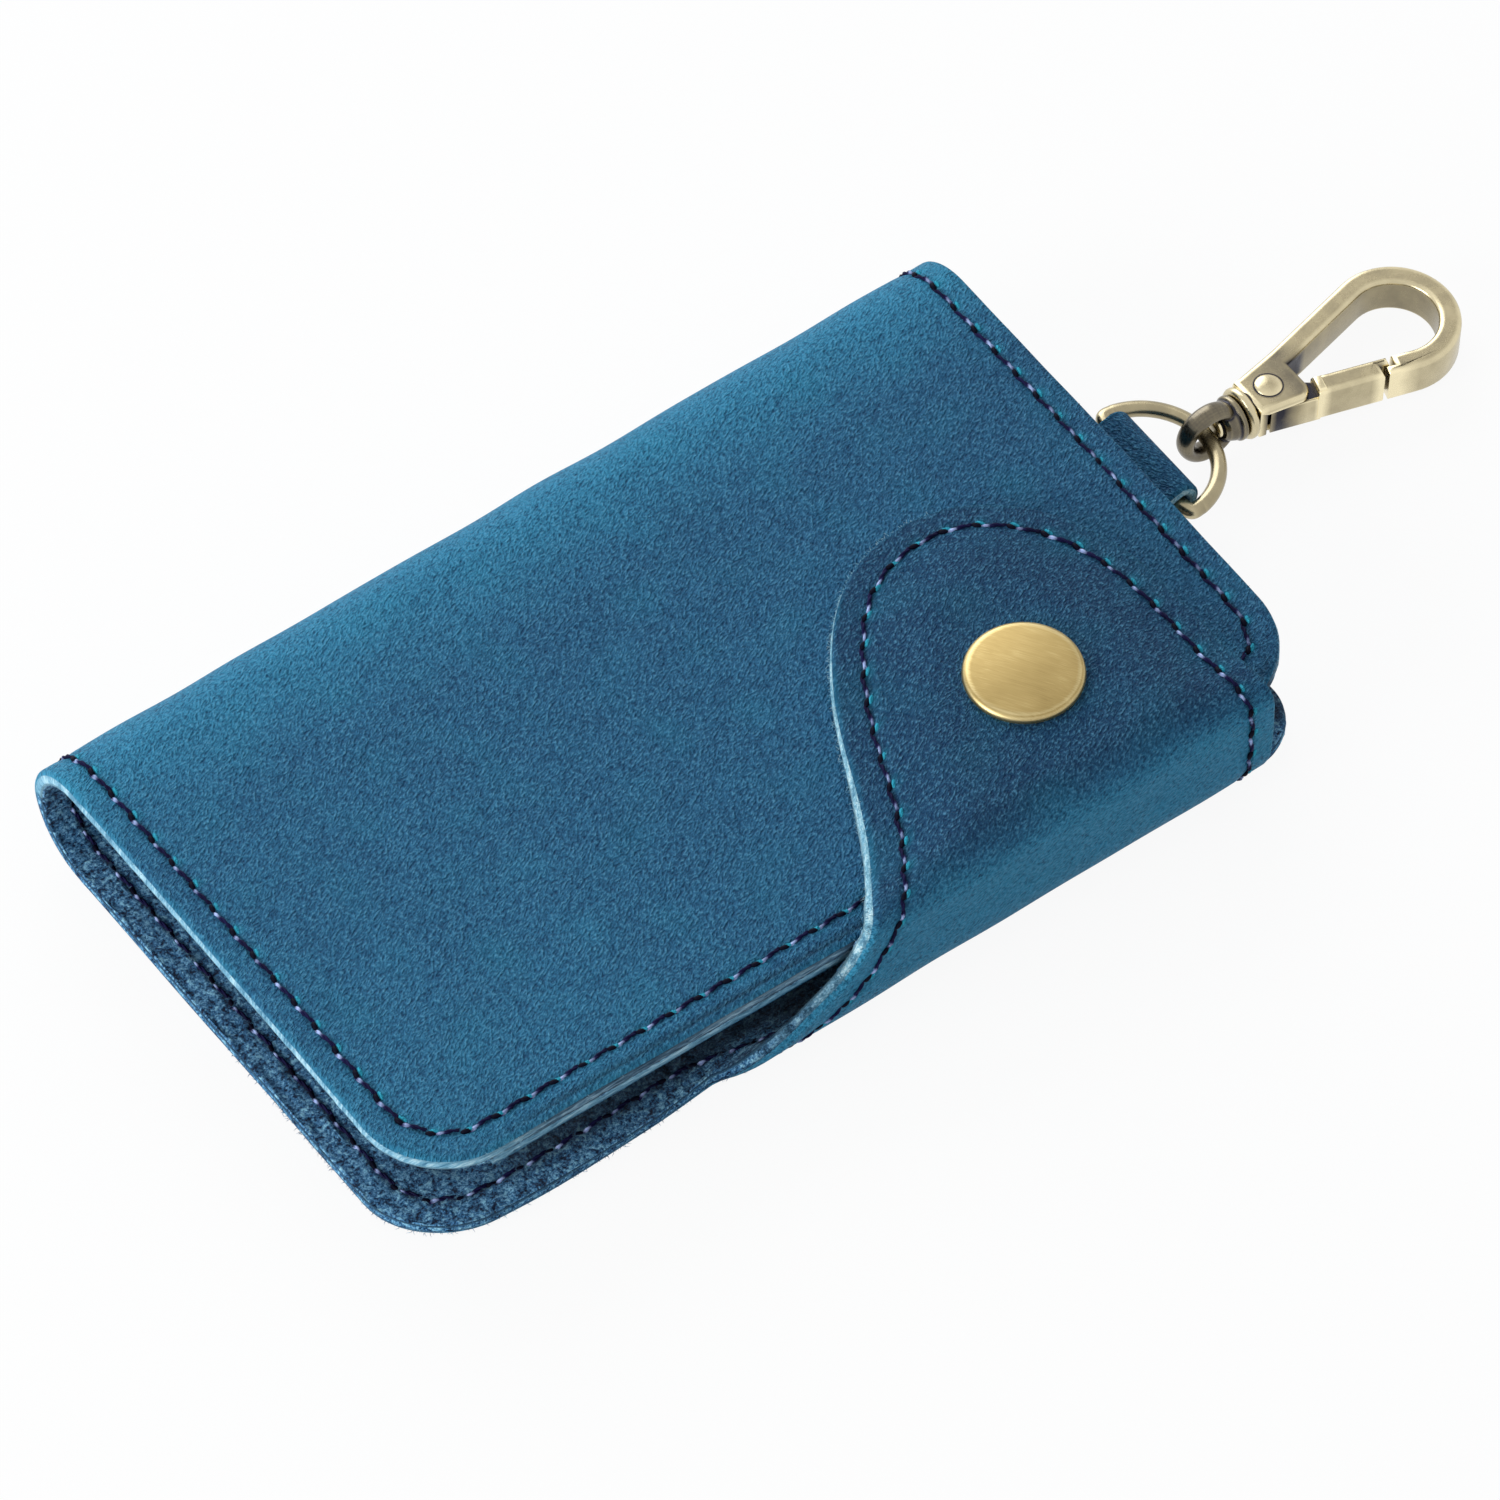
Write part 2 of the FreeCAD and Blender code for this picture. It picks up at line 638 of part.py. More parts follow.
def make_key_plate():
    """Angle plate that carries the key hooks on its upright rail."""
    body = new_body("key_plate")
    left = KEY_RAIL_X
    high_y = f"({KEY_LOW_Y} + {KEY_PLATE_LENGTH})"
    foot = box_corners(left, f"({left} + dims.key_plate_width)", KEY_LOW_Y, high_y)
    pad(body, outline(body, "foot", "XY_Plane", foot, "dims.leather"), "dims.key_plate_thickness")
    rail = box_corners(left, f"({left} + dims.key_rail_thickness)", KEY_LOW_Y, high_y)
    height = "(dims.key_axis_height + dims.key_rail_edge)"
    pad(body, outline(body, "rail", "XY_Plane", rail, "dims.leather"), height)
    bore = "(dims.key_post_radius + dims.key_post_play)"
    posts = [(along, KEY_Z, bore) for along in key_places()]
    pocket(body, circles(body, "post_holes", "YZ_Plane", posts, left), "dims.overrun")
    middle = "dims.key_centre_y"
    rivets = [
        (RIVET_X, f"({middle} - {RIVET_REACH})", "dims.plate_rivet_radius"),
        (RIVET_X, f"({middle} + {RIVET_REACH})", "dims.plate_rivet_radius"),
    ]
    pocket(body, circles(body, "rivet_holes", "XY_Plane", rivets, "dims.leather"), "dims.overrun")


def make_plate_rivets():
    """Two rivets through the key plate and the back, as one group of solids."""
    rivets = []
    foot = "dims.plate_rivet_head"
    top = "(dims.leather + dims.key_plate_thickness)"
    for number, sign in enumerate(("-", "+"), start=1):
        along = f"(dims.key_centre_y {sign} {RIVET_REACH})"
        pieces = []
        for name, radius, low, height in (
            ("shank", "dims.plate_rivet_radius", foot, f"({top} - {foot})"),
            ("lower_head", "dims.plate_rivet_head_radius", "dims.floor_gap", f"({foot} - dims.floor_gap)"),
            ("upper_head", "dims.plate_rivet_head_radius", top, "dims.plate_rivet_head"),
        ):
            piece = document.addObject("Part::Cylinder", f"plate_rivet_{number}_{name}")
            piece.setExpression("Radius", radius)
            piece.setExpression("Height", height)
            place(piece, RIVET_X, along, low)
            pieces.append(piece)
        rivet = document.addObject("Part::MultiFuse", f"plate_rivet_{number}")
        rivet.Shapes = pieces
        rivets.append(rivet)
    group = document.addObject("Part::Compound", "key_plate_rivets")
    group.Label = "key_plate_rivets"
    group.Links = rivets
    sub_parts.append(group)


def make_key_hook(number, along):
    """One key hook: a flat open loop on a post that turns in the rail."""
    body = new_body(f"key_hook_{number}")
    half = "(dims.key_loop_width / 2)"
    neck = "(dims.key_neck_width / 2)"
    start = "-dims.key_end_play"
    neck_end = f"({start} - dims.key_neck_length)"
    shoulder = f"({neck_end} - dims.key_shoulder_length)"
    bend = f"({shoulder} - dims.key_side_length)"
    end = f"({bend} - {half})"
    loop = outline(body, "loop", "XY_Plane", [
        (start, f"-{neck}"),
        (start, neck),
        (neck_end, neck),
        (shoulder, half),
        (bend, half),
        (end, "0", half, "left"),
        (bend, f"-{half}", half, "left"),
        (shoulder, f"-{half}"),
        (neck_end, f"-{neck}"),
    ])
    pad(body, loop, "dims.key_thickness", symmetric=True)
    inner = f"({half} - dims.key_bar)"
    slot = outline(body, "slot", "XY_Plane", [
        (shoulder, f"-{inner}"),
        (shoulder, inner),
        (bend, inner),
        (f"({bend} - {inner})", "0", inner, "left"),
        (bend, f"-{inner}", inner, "left"),
    ])
    pocket(body, slot, "(2 * dims.key_thickness)")
    gap_start = f"({shoulder} - dims.key_gap_start)"
    gap_end = f"({gap_start} - dims.key_gap_length)"
    gap = outline(body, "mouth", "XY_Plane", box_corners(gap_end, gap_start, "0", f"({half} + dims.overrun)"))
    pocket(body, gap, "(2 * dims.key_thickness)")
    post_end = "(dims.key_rail_thickness + dims.key_end_play)"
    post = circles(body, "post", "YZ_Plane", [("0", "0", "dims.key_post_radius")], neck_end)
    pad(body, post, f"({post_end} - {neck_end})")
    head = circles(body, "head", "YZ_Plane", [("0", "0", "dims.key_head_radius")], post_end)
    pad(body, head, "dims.key_head_length")
    place(body, KEY_RAIL_X, along, KEY_Z)


def make_key_gate(number, along):
    """Spring tongue that closes the mouth of one key hook from inside."""
    body = new_body(f"key_gate_{number}")
    root = "(-dims.key_end_play - dims.key_neck_length - dims.key_shoulder_length - dims.key_gate_play)"
    outer = "(dims.key_loop_width / 2 - dims.key_bar - dims.key_gate_play)"
    inner = f"({outer} - dims.key_gate_thickness)"
    length = "(dims.key_gap_start + dims.key_gap_length + dims.key_gate_lap)"
    tongue = box_corners(f"({root} - {length})", root, inner, outer)
    pad(body, outline(body, "tongue", "XY_Plane", tongue), "dims.key_gate_height", symmetric=True)
    place(body, KEY_RAIL_X, along, KEY_Z)


def make_hanger_tab():
    """Leather strip folded round the D-ring's bar, with both tails sewn to the back."""
    body = new_body("hanger_tab")
    rise_x = f"({BAR_X} - dims.tab_rise)"
    tail_top = "(dims.leather + 2 * dims.tab_leather)"
    shape = outline(body, "side", "XZ_Plane", [
        (TAIL_X, "dims.leather"),
        (BAR_X, "dims.leather"),
        (f"({BAR_X} + {TAB_RADIUS})", BAR_Z, TAB_RADIUS, "left"),
        (BAR_X, f"({BAR_Z} + {TAB_RADIUS})", TAB_RADIUS, "left"),
        (rise_x, tail_top),
        (TAIL_X, tail_top),
    ], "-dims.tab_y")
    pad(body, shape, "dims.tab_width", symmetric=True)
    bore = circles(body, "bore", "XZ_Plane", [(BAR_X, BAR_Z, BORE_RADIUS)], "-dims.tab_y")
    pocket(body, bore, "(2 * dims.tab_width)")


def make_d_ring():
    """D-ring of round wire: a straight bar, a half circle and two rounded corners."""
    bow = document.addObject("Part::Torus", "d_ring_bow")
    bow.setExpression("Radius1", RING_RADIUS)
    bow.setExpression("Radius2", "dims.ring_wire_radius")
    bow.Angle3 = 180
    bow.Placement = FreeCAD.Placement(FreeCAD.Vector(), FreeCAD.Rotation(FreeCAD.Vector(0, 0, 1), -90))
    bar = document.addObject("Part::Cylinder", "d_ring_bar")
    bar.setExpression("Radius", "dims.ring_wire_radius")
    bar.setExpression("Height", f"(2 * {RING_RADIUS})")
    bar.Placement = FreeCAD.Placement(FreeCAD.Vector(), FreeCAD.Rotation(FreeCAD.Vector(1, 0, 0), -90))
    bar.setExpression("Placement.Base.y", f"-{RING_RADIUS}")
    pieces = [bow, bar]
    for number, along in enumerate((f"-{RING_RADIUS}", RING_RADIUS), start=1):
        corner = document.addObject("Part::Sphere", f"d_ring_corner_{number}")
        corner.setExpression("Radius", "dims.ring_wire_radius")
        place(corner, along=along)
        pieces.append(corner)
    ring = document.addObject("Part::MultiFuse", "d_ring")
    ring.Label = "d_ring"
    ring.Shapes = pieces
    place_on_bar(ring)
    sub_parts.append(ring)


def make_swivel_eye():
    """Eye that hangs on the D-ring, with the boss that the hook's post turns in."""
    loop = document.addObject("Part::Torus", "swivel_eye_loop")
    loop.setExpression("Radius1", EYE_RADIUS)
    loop.setExpression("Radius2", "dims.eye_wire_radius")
    loop.Placement = FreeCAD.Placement(FreeCAD.Vector(), FreeCAD.Rotation(FreeCAD.Vector(1, 0, 0), 90))
    loop.setExpression("Placement.Base.x", EYE_X)
    along_x = FreeCAD.Rotation(FreeCAD.Vector(0, 1, 0), 90)
    boss = document.addObject("Part::Cylinder", "swivel_eye_boss")
    boss.setExpression("Radius", "dims.eye_boss_radius")
    boss.setExpression("Height", "dims.eye_boss_length")
    boss.Placement = FreeCAD.Placement(FreeCAD.Vector(), along_x)
    boss.setExpression("Placement.Base.x", BOSS_START)
    solid = document.addObject("Part::MultiFuse", "swivel_eye_solid")
    solid.Shapes = [loop, boss]
    bore = document.addObject("Part::Cylinder", "swivel_eye_bore")
    bore.setExpression("Radius", "(dims.swivel_radius + dims.swivel_play)")
    bore.setExpression("Height", f"({BOSS_END} + dims.overrun - {EYE_X})")
    bore.Placement = FreeCAD.Placement(FreeCAD.Vector(), along_x)
    bore.setExpression("Placement.Base.x", EYE_X)
    eye = document.addObject("Part::Cut", "swivel_eye")
    eye.Label = "swivel_eye"
    eye.Base = solid
    eye.Tool = bore
    place_on_bar(eye)
    sub_parts.append(eye)


def arm_point(radius, length, side):
    """A point on the straight run of an arm, this far from where it leaves the bow."""
    angle = f"({side} * dims.bow_tangent_angle)"
    touch_x, touch_y = on_circle(BOW_X, "0", radius, angle)
    run_x = f"{length} * sin(dims.bow_tangent_angle)"
    run_y = f"{side} * {length} * cos(dims.bow_tangent_angle)"
    return f"({touch_x} - {run_x})", f"({touch_y} + {run_y})"


def make_hook_body():
    """Body of the snap hook: post, collar, two cheeks, fixed arm, bow and nose."""
    body = new_body("hook_body")
    middle_radius = f"(({BOW_INNER} + dims.bow_radius) / 2)"
    base = "(dims.hook_base_width / 2)"
    collar = "(dims.hook_collar_width / 2)"
    collar_end = f"({HOOK_X} + dims.hook_collar)"
    cheek = "(dims.cheek_width / 2)"
    cheek_end = f"({HOOK_X} + dims.cheek_length)"
    gate_side = f"({cheek_end} - dims.cheek_corner)"
    shape = outline(body, "side", "XY_Plane", [
        (HOOK_X, f"-{collar}"),
        (collar_end, f"-{collar}"),
        (f"({collar_end} + dims.hook_collar_gap)", f"-{base}"),
        (gate_side, f"-{cheek}"),
        (cheek_end, f"(-{cheek} + dims.cheek_corner)", "dims.cheek_corner", "left"),
        arm_point(BOW_INNER, ARM_LENGTH, "1"),
        arm_point(BOW_INNER, "0", "1"),
        (f"({BOW_X} + {BOW_INNER})", "0", BOW_INNER, "right"),
        (*arm_point(BOW_INNER, "0", "-1"), BOW_INNER, "right"),
        arm_point(BOW_INNER, "dims.nose_length", "-1"),
        arm_point(middle_radius, "dims.nose_length", "-1"),
        arm_point(middle_radius, NOSE_REACH, "-1"),
        arm_point("dims.bow_radius", NOSE_REACH, "-1"),
        arm_point("dims.bow_radius", "0", "-1"),
        (f"({BOW_X} + dims.bow_radius)", "0", "dims.bow_radius", "left"),
        (*arm_point("dims.bow_radius", "0", "1"), "dims.bow_radius", "left"),
        arm_point("dims.bow_radius", ARM_LENGTH, "1"),
        (f"({collar_end} + dims.hook_collar_gap)", base),
        (collar_end, collar),
        (HOOK_X, collar),
    ])
    pad(body, shape, "dims.hook_thickness", symmetric=True)
    soften(body, "dims.hook_edge", HOOK_HALF)
    slot = box_corners(
        f"({HOOK_X} + dims.slot_start)",
        f"({cheek_end} + dims.overrun)",
        f"(-{cheek} - dims.overrun)",
        "dims.slot_side",
    )
    slot_height = "(dims.gate_root_height + 2 * dims.gate_side_gap)"
    pocket(body, outline(body, "slot", "XY_Plane", slot), slot_height)
    pivot = circles(body, "pivot_hole", "XY_Plane", [(PIVOT_X, "0", "dims.pivot_radius")])
    pocket(body, pivot, "(2 * dims.hook_thickness)")
    post = circles(body, "post", "YZ_Plane", [("0", "0", "dims.swivel_radius")], HEAD_END)
    pad(body, post, f"({HOOK_X} + dims.hook_collar - {HEAD_END})")
    head = circles(body, "post_head", "YZ_Plane", [("0", "0", HEAD_RADIUS)], HEAD_START)
    pad(body, head, "dims.swivel_head_length")
    place_on_bar(body)


def make_hook_gate():
    """Lever gate: a bar that closes the bow and a root that turns between the cheeks."""
    body = new_body("hook_gate")
    middle_radius = f"(({BOW_INNER} + dims.bow_radius) / 2)"
    inner_radius = f"({middle_radius} - dims.gate_lip_gap)"
    tip = "(dims.nose_length + dims.gate_end_gap)"
    lip = f"({NOSE_REACH} + dims.gate_end_gap)"
    bar = outline(body, "bar", "XY_Plane", [
        arm_point(BOW_INNER, GATE_REAR, "-1"),
        arm_point("dims.bow_radius", GATE_REAR, "-1"),
        arm_point("dims.bow_radius", lip, "-1"),
        arm_point(inner_radius, lip, "-1"),
        arm_point(inner_radius, tip, "-1"),
        arm_point(BOW_INNER, tip, "-1"),
    ])
    pad(body, bar, "dims.hook_thickness", symmetric=True)
    soften(body, "dims.hook_edge", HOOK_HALF)
    root = "dims.gate_root_radius"
    plate = outline(body, "root", "XY_Plane", [
        arm_point("dims.bow_radius", GATE_ROOT, "-1"),
        arm_point(BOW_INNER, GATE_ROOT, "-1"),
        (PIVOT_X, root),
        (f"({PIVOT_X} - {root})", "0", root, "left"),
        (PIVOT_X, f"-{root}", root, "left"),
        arm_point("dims.bow_radius", f"({GATE_ROOT} + dims.gate_tail)", "-1"),
    ])
    pad(body, plate, "dims.gate_root_height", symmetric=True)
    bore = "(dims.pivot_radius + dims.pivot_play)"
    hole = circles(body, "pivot_hole", "XY_Plane", [(PIVOT_X, "0", bore)])
    pocket(body, hole, "(2 * dims.hook_thickness)")
    place_on_bar(body)


def make_gate_rivet():
    """Rivet that the gate turns on, headed on both cheeks."""
    pieces = []
    for name, radius, low, height in (
        ("shank", "dims.pivot_radius", f"-{HOOK_HALF}", "dims.hook_thickness"),
        ("upper_head", "dims.pivot_head_radius", HOOK_HALF, "dims.pivot_head"),
        ("lower_head", "dims.pivot_head_radius", f"(-{HOOK_HALF} - dims.pivot_head)", "dims.pivot_head"),
    ):
        piece = document.addObject("Part::Cylinder", f"gate_rivet_{name}")
        piece.setExpression("Radius", radius)
        piece.setExpression("Height", height)
        place(piece, PIVOT_X, "0", low)
        pieces.append(piece)
    rivet = document.addObject("Part::MultiFuse", "gate_rivet")
    rivet.Label = "gate_rivet"
    rivet.Shapes = pieces
    place_on_bar(rivet)
    sub_parts.append(rivet)


def make_gate_spring():
    """Leaf spring in the slot that pushes the gate shut."""
    body = new_body("gate_spring")
    left = f"({PIVOT_X} + dims.spring_root_inset)"
    root = "dims.gate_root_radius"
    gate_x, gate_y = arm_point(BOW_INNER, GATE_ROOT, "-1")
    fall = f"({root} - {gate_y}) / ({gate_x} - {PIVOT_X})"
    low = f"({root} - {fall} * (dims.spring_root_inset + dims.spring_reach) + dims.spring_play)"
    leaf = outline(body, "leaf", "XY_Plane", [
        (left, "dims.slot_side"),
        (f"({left} + dims.spring_reach)", low),
        (f"({left} + dims.spring_reach + dims.spring_thickness)", low),
        (f"({left} + dims.spring_thickness)", "dims.slot_side"),
    ])
    pad(body, leaf, "dims.spring_height", symmetric=True)
    place_on_bar(body)


def check_document():
    """Stop if any object failed, or if a sub-part has no valid solid."""
    for item in document.Objects:
        if "Invalid" in item.State or "Error" in item.State:
            raise RuntimeError(f"{item.Label} is {item.State}")
    for item in sub_parts:
        if item.Shape.isNull() or not item.Shape.isValid() or not item.Shape.Solids:
            raise RuntimeError(f"{item.Label} has no valid solid")


def write_parts():
    """Write each sub-part to a file of its own name."""
    os.makedirs("parts", exist_ok=True)
    for item in sub_parts:
        item.Shape.exportStep(os.path.join("parts", f"{item.Label}.step"))
        box = item.Shape.BoundBox
        print(
            f"{item.Label}: {len(item.Shape.Solids)} solid, {item.Shape.Volume:.1f} mm3,"
            f" {box.XMin:.2f}..{box.XMax:.2f} {box.YMin:.2f}..{box.YMax:.2f} {box.ZMin:.2f}..{box.ZMax:.2f}"
        )


make_back_panel()
make_spine_fold()
make_front_panel()
make_front_pocket()
make_flap_side()
make_flap_tip()
make_snap()
make_key_plate()
make_plate_rivets()
for hook_number, hook_place in enumerate(key_places(), start=1):
    make_key_hook(hook_number, hook_place)
    make_key_gate(hook_number, hook_place)
make_hanger_tab()
make_d_ring()
make_swivel_eye()
make_hook_body()
make_hook_gate()
make_gate_rivet()
make_gate_spring()
document.recompute()
check_document()
write_parts()
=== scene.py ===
"""Looks of a folded leather key case with a snap flap, a row of key hooks and a swivel hook.

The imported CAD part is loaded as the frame. Lengths are millimetres until a mesh is made.
"""

import logging
import math
from dataclasses import dataclass, field
from enum import Enum
from typing import Callable, Sequence

import bmesh
import bpy
import numpy as np
from mathutils import Matrix, Vector


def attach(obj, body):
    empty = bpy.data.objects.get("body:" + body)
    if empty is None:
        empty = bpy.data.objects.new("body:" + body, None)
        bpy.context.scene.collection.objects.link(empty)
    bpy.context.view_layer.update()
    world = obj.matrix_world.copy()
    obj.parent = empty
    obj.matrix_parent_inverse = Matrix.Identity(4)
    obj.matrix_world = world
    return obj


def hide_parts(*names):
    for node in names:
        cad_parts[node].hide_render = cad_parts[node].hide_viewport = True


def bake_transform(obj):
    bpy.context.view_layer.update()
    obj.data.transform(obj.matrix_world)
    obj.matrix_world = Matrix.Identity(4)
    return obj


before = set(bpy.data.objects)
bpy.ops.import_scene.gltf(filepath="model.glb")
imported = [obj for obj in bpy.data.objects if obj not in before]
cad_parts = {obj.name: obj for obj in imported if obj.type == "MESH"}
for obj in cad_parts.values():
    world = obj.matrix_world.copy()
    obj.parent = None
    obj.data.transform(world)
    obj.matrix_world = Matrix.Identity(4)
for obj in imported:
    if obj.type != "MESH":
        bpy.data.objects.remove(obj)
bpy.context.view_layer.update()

MM = 0.001
UV_PER_MM = 0.01
TINY = 1e-12
# The radius at which a turned outline starts and ends.
AXIS_GAP = 0.02
UPRIGHT = Matrix.Rotation(math.radians(-90), 4, "Y")
# How far the close points of a row lie from each of its ends.
CLOSE_ENDS = np.array([0, 0.12, 0.28, 0.5, 0.9, 1.4, 1.9, 2.3, 2.6, 2.85, 3.1, 3.4, 3.8, 4.4, 5.3, 6.5])
# How many times the span of its close points a row needs before they are squeezed.
CLOSE_ROOM = 2.4
# How many waves a ripple adds up, and the shares of its wavelength that they have.
RIPPLE_WAVES = 9
RIPPLE_SHARES = (0.6, 1.6)
LOG = logging.getLogger("key_case")

Array = np.ndarray
Triple = tuple[float, float, float]
Colour = Triple
Pair = tuple[float, float]
Place = Callable[[Array, Array, Array], Array]
Level = Callable[[Array, Array], Array]
Choice = Callable[[Array], Array]
Material = bpy.types.Material
Piece = bpy.types.Object
Socket = bpy.types.NodeSocket


class Face(Enum):
    """The kinds of surface on a cut piece of leather."""

    GRAIN = 0
    FLESH = 1
    CUT = 2
    LAYER = 3


class Side(Enum):
    """Which face of the leather a row of stitches lies on."""

    GRAIN = 1
    FLESH = -1


@dataclass(frozen=True)
class Mark:
    """A smooth mark with a height at its middle and a width."""

    height: float
    width: float

    def at(self, distance: Array) -> Array:
        """Return the mark's height this far from its middle."""
        return self.height * np.exp(-((distance / self.width) ** 2))


def srgb(red: int, green: int, blue: int) -> Colour:
    """Turn a colour given in screen values into linear values.

    Args:
        red: The red value, 0 to 255.
        green: The green value, 0 to 255.
        blue: The blue value, 0 to 255.

    Returns:
        The colour in linear values.
    """
    shares = [number / 255 for number in (red, green, blue)]
    linear = [share / 12.92 if share <= 0.04045 else ((share + 0.055) / 1.055) ** 2.4 for share in shares]
    return linear[0], linear[1], linear[2]


def smooth_step(low: float, high: float, value: Array) -> Array:
    """Rise smoothly from 0 at low to 1 at high."""
    share = np.clip((value - low) / (high - low), 0, 1)
    return share * share * (3 - 2 * share)


def everywhere(value: float) -> Level:
    """Return a level that is the same at every flat place."""
    return lambda u, v: np.full(len(u), value)


def unit(vectors: Array) -> Array:
    """Return vectors of length 1 in the same directions."""
    return vectors / (np.linalg.norm(vectors, axis=-1, keepdims=True) + TINY)


def right_of(runs: Array) -> Array:
    """Return flat directions turned to their right."""
    return np.stack([runs[..., 1], -runs[..., 0]], -1)


def ripple(u: Array, v: Array, wavelength: float, seed: int) -> Array:
    """Return a smooth uneven field of about unit height.

    Args:
        u: Places along the first direction.
        v: Places along the second direction.
        wavelength: The usual length of a wave.
        seed: Which field it is.

    Returns:
        One height for each place.
    """
    random = np.random.default_rng(seed)
    total = np.zeros_like(u, dtype=float)
    for _ in range(RIPPLE_WAVES):
        angle, phase = random.uniform(0, 2 * math.pi, 2)
        length = wavelength * random.uniform(*RIPPLE_SHARES)
        total += np.sin((u * math.cos(angle) + v * math.sin(angle)) * 2 * math.pi / length + phase)
    return total / math.sqrt(RIPPLE_WAVES)


def distance_to(points: Array, starts: Array, ends: Array) -> Array:
    """Measure how far points are from the nearest of some segments.

    Args:
        points: The points.
        starts: Where each segment starts.
        ends: Where each segment ends.

    Returns:
        One distance for each point.
    """
    nearest = np.full(len(points), np.inf)
    for start, end in zip(starts, ends):
        run = end - start
        square = float(run @ run)
        share = np.clip((points - start) @ run / square, 0, 1) if square > 0 else np.zeros(len(points))
        gap = points - start - share[:, None] * run
        nearest = np.minimum(nearest, np.einsum("ij,ij->i", gap, gap))
    return np.sqrt(nearest)


def distance_to_line(points: Array, line: Array) -> Array:
    """Return how far each point is from an open line."""
    return distance_to(points, line[:-1], line[1:])


def lengths_along(line: Array) -> Array:
    """Return how far along a line each of its points is."""
    return np.concatenate([[0], np.cumsum(np.linalg.norm(np.diff(line, axis=0), axis=1))])


def curve_through(points: Sequence[Pair], steps: int = 10) -> Array:
    """Draw a smooth line through points.

    Args:
        points: The points, in order.
        steps: How many steps the line takes between two points.

    Returns:
        The line's points.
    """
    given = np.array(points, float)
    padded = np.vstack([2 * given[0] - given[1], given, 2 * given[-1] - given[-2]])
    share = np.linspace(0, 1, steps, endpoint=False)[:, None]
    runs = []
    for a, b, c, d in zip(padded, padded[1:], padded[2:], padded[3:]):
        square = (2 * a - 5 * b + 4 * c - d) * share**2
        cube = (3 * b - a - 3 * c + d) * share**3
        runs.append(0.5 * (2 * b + (c - a) * share + square + cube))
    return np.vstack([*runs, given[-1:]])


def arc(centre: Pair, radius: float, first: float, last: float, steps: int = 14) -> Array:
    """Return points on an arc between two angles in degrees."""
    angles = np.radians(np.linspace(first, last, steps))
    return np.stack([centre[0] + radius * np.cos(angles), centre[1] + radius * np.sin(angles)], 1)


def inset_line(line: Array, distance: float) -> Array:
    """Return a line moved to its right by a distance."""
    return line + distance * right_of(unit(np.gradient(line, axis=0)))


def even_points(line: Array, pitch: float) -> Array:
    """Divide a line evenly.

    Args:
        line: The line's points.
        pitch: About how far apart the new points are.

    Returns:
        The new points, with both ends.
    """
    along = lengths_along(line)
    count = max(2, round(along[-1] / pitch) + 1)
    places = np.linspace(0, along[-1], count)
    return np.stack([np.interp(places, along, line[:, axis]) for axis in range(2)], 1)


def spread(low: float, high: float, ends: Array, middle: int) -> Array:
    """Return places between two limits, close together near both ends.

    Args:
        low: The lower limit.
        high: The upper limit.
        ends: How far the close places lie from each end.
        middle: How many even places lie between them.

    Returns:
        The places in rising order, always as many.
    """
    room = CLOSE_ROOM * ends[-1]
    share = min(1.0, (high - low) / room)
    left = low + ends * share
    right = high - ends[::-1] * share
    return np.concatenate([left, np.linspace(left[-1], right[0], middle + 2)[1:-1], right])


def linked(name: str, mesh: bpy.types.Mesh) -> Piece:
    """Put a mesh into the scene as a smoothly shaded piece.

    Args:
        name: The piece's name.
        mesh: Its mesh.

    Returns:
        The piece.
    """
    mesh.shade_smooth()
    item = bpy.data.objects.new(name, mesh)
    bpy.context.scene.collection.objects.link(item)
    return item


def from_work(name: str, work: bmesh.types.BMesh) -> Piece:
    """Make a piece of a mesh under work, and end the work.

    Args:
        name: The piece's name.
        work: The mesh under work.

    Returns:
        The piece.
    """
    mesh = bpy.data.meshes.new(name)
    work.to_mesh(mesh)
    work.free()
    return linked(name, mesh)


def new_object(name: str, points: Array, faces: Sequence[Sequence[int]]) -> Piece:
    """Make a piece from points in millimetres.

    Args:
        name: The piece's name.
        points: One row of three numbers for each vertex.
        faces: The vertex numbers of each face.

    Returns:
        The piece, linked to the scene and smoothly shaded.
    """
    mesh = bpy.data.meshes.new(name)
    corners = [list(map(int, face)) for face in faces]
    mesh.from_pydata((np.asarray(points, float) * MM).tolist(), [], corners)
    mesh.validate()
    return linked(name, mesh)


def outward(mesh: bpy.types.Mesh) -> None:
    """Turn every face of a closed mesh outwards.

    Args:
        mesh: The mesh.
    """
    work = bmesh.new()
    work.from_mesh(mesh)
    bmesh.ops.recalc_face_normals(work, faces=work.faces)
    work.to_mesh(mesh)
    work.free()


def sharpen(item: Piece, degrees: float) -> None:
    """Shade smoothly, apart from edges that turn more than an angle."""
    item.data.shade_smooth()
    item.data.set_sharp_from_angle(angle=math.radians(degrees))


def resize(items: Sequence[Piece], factor: float) -> None:
    """Make the meshes of some pieces larger or smaller."""
    for item in items:
        item.data.transform(Matrix.Scale(factor, 4))


def read(elements: bpy.types.bpy_prop_collection, name: str, width: int = 1, kind: type = float) -> Array:
    """Read a property of every element of a mesh.

    Args:
        elements: The vertices, edges or loops.
        name: The property's name.
        width: How many numbers each element has.
        kind: The numbers' type.

    Returns:
        One row for each element, or one number where the width is 1.
    """
    values = np.zeros(len(elements) * width, kind)
    elements.foreach_get(name, values)
    return values.reshape(-1, width) if width > 1 else values


def store(mesh: bpy.types.Mesh, name: str, values: Array) -> None:
    """Keep one number for each vertex under a name that a material can read."""
    attribute = mesh.attributes.new(name, "FLOAT", "POINT")
    attribute.data.foreach_set("value", np.asarray(values, np.float32))


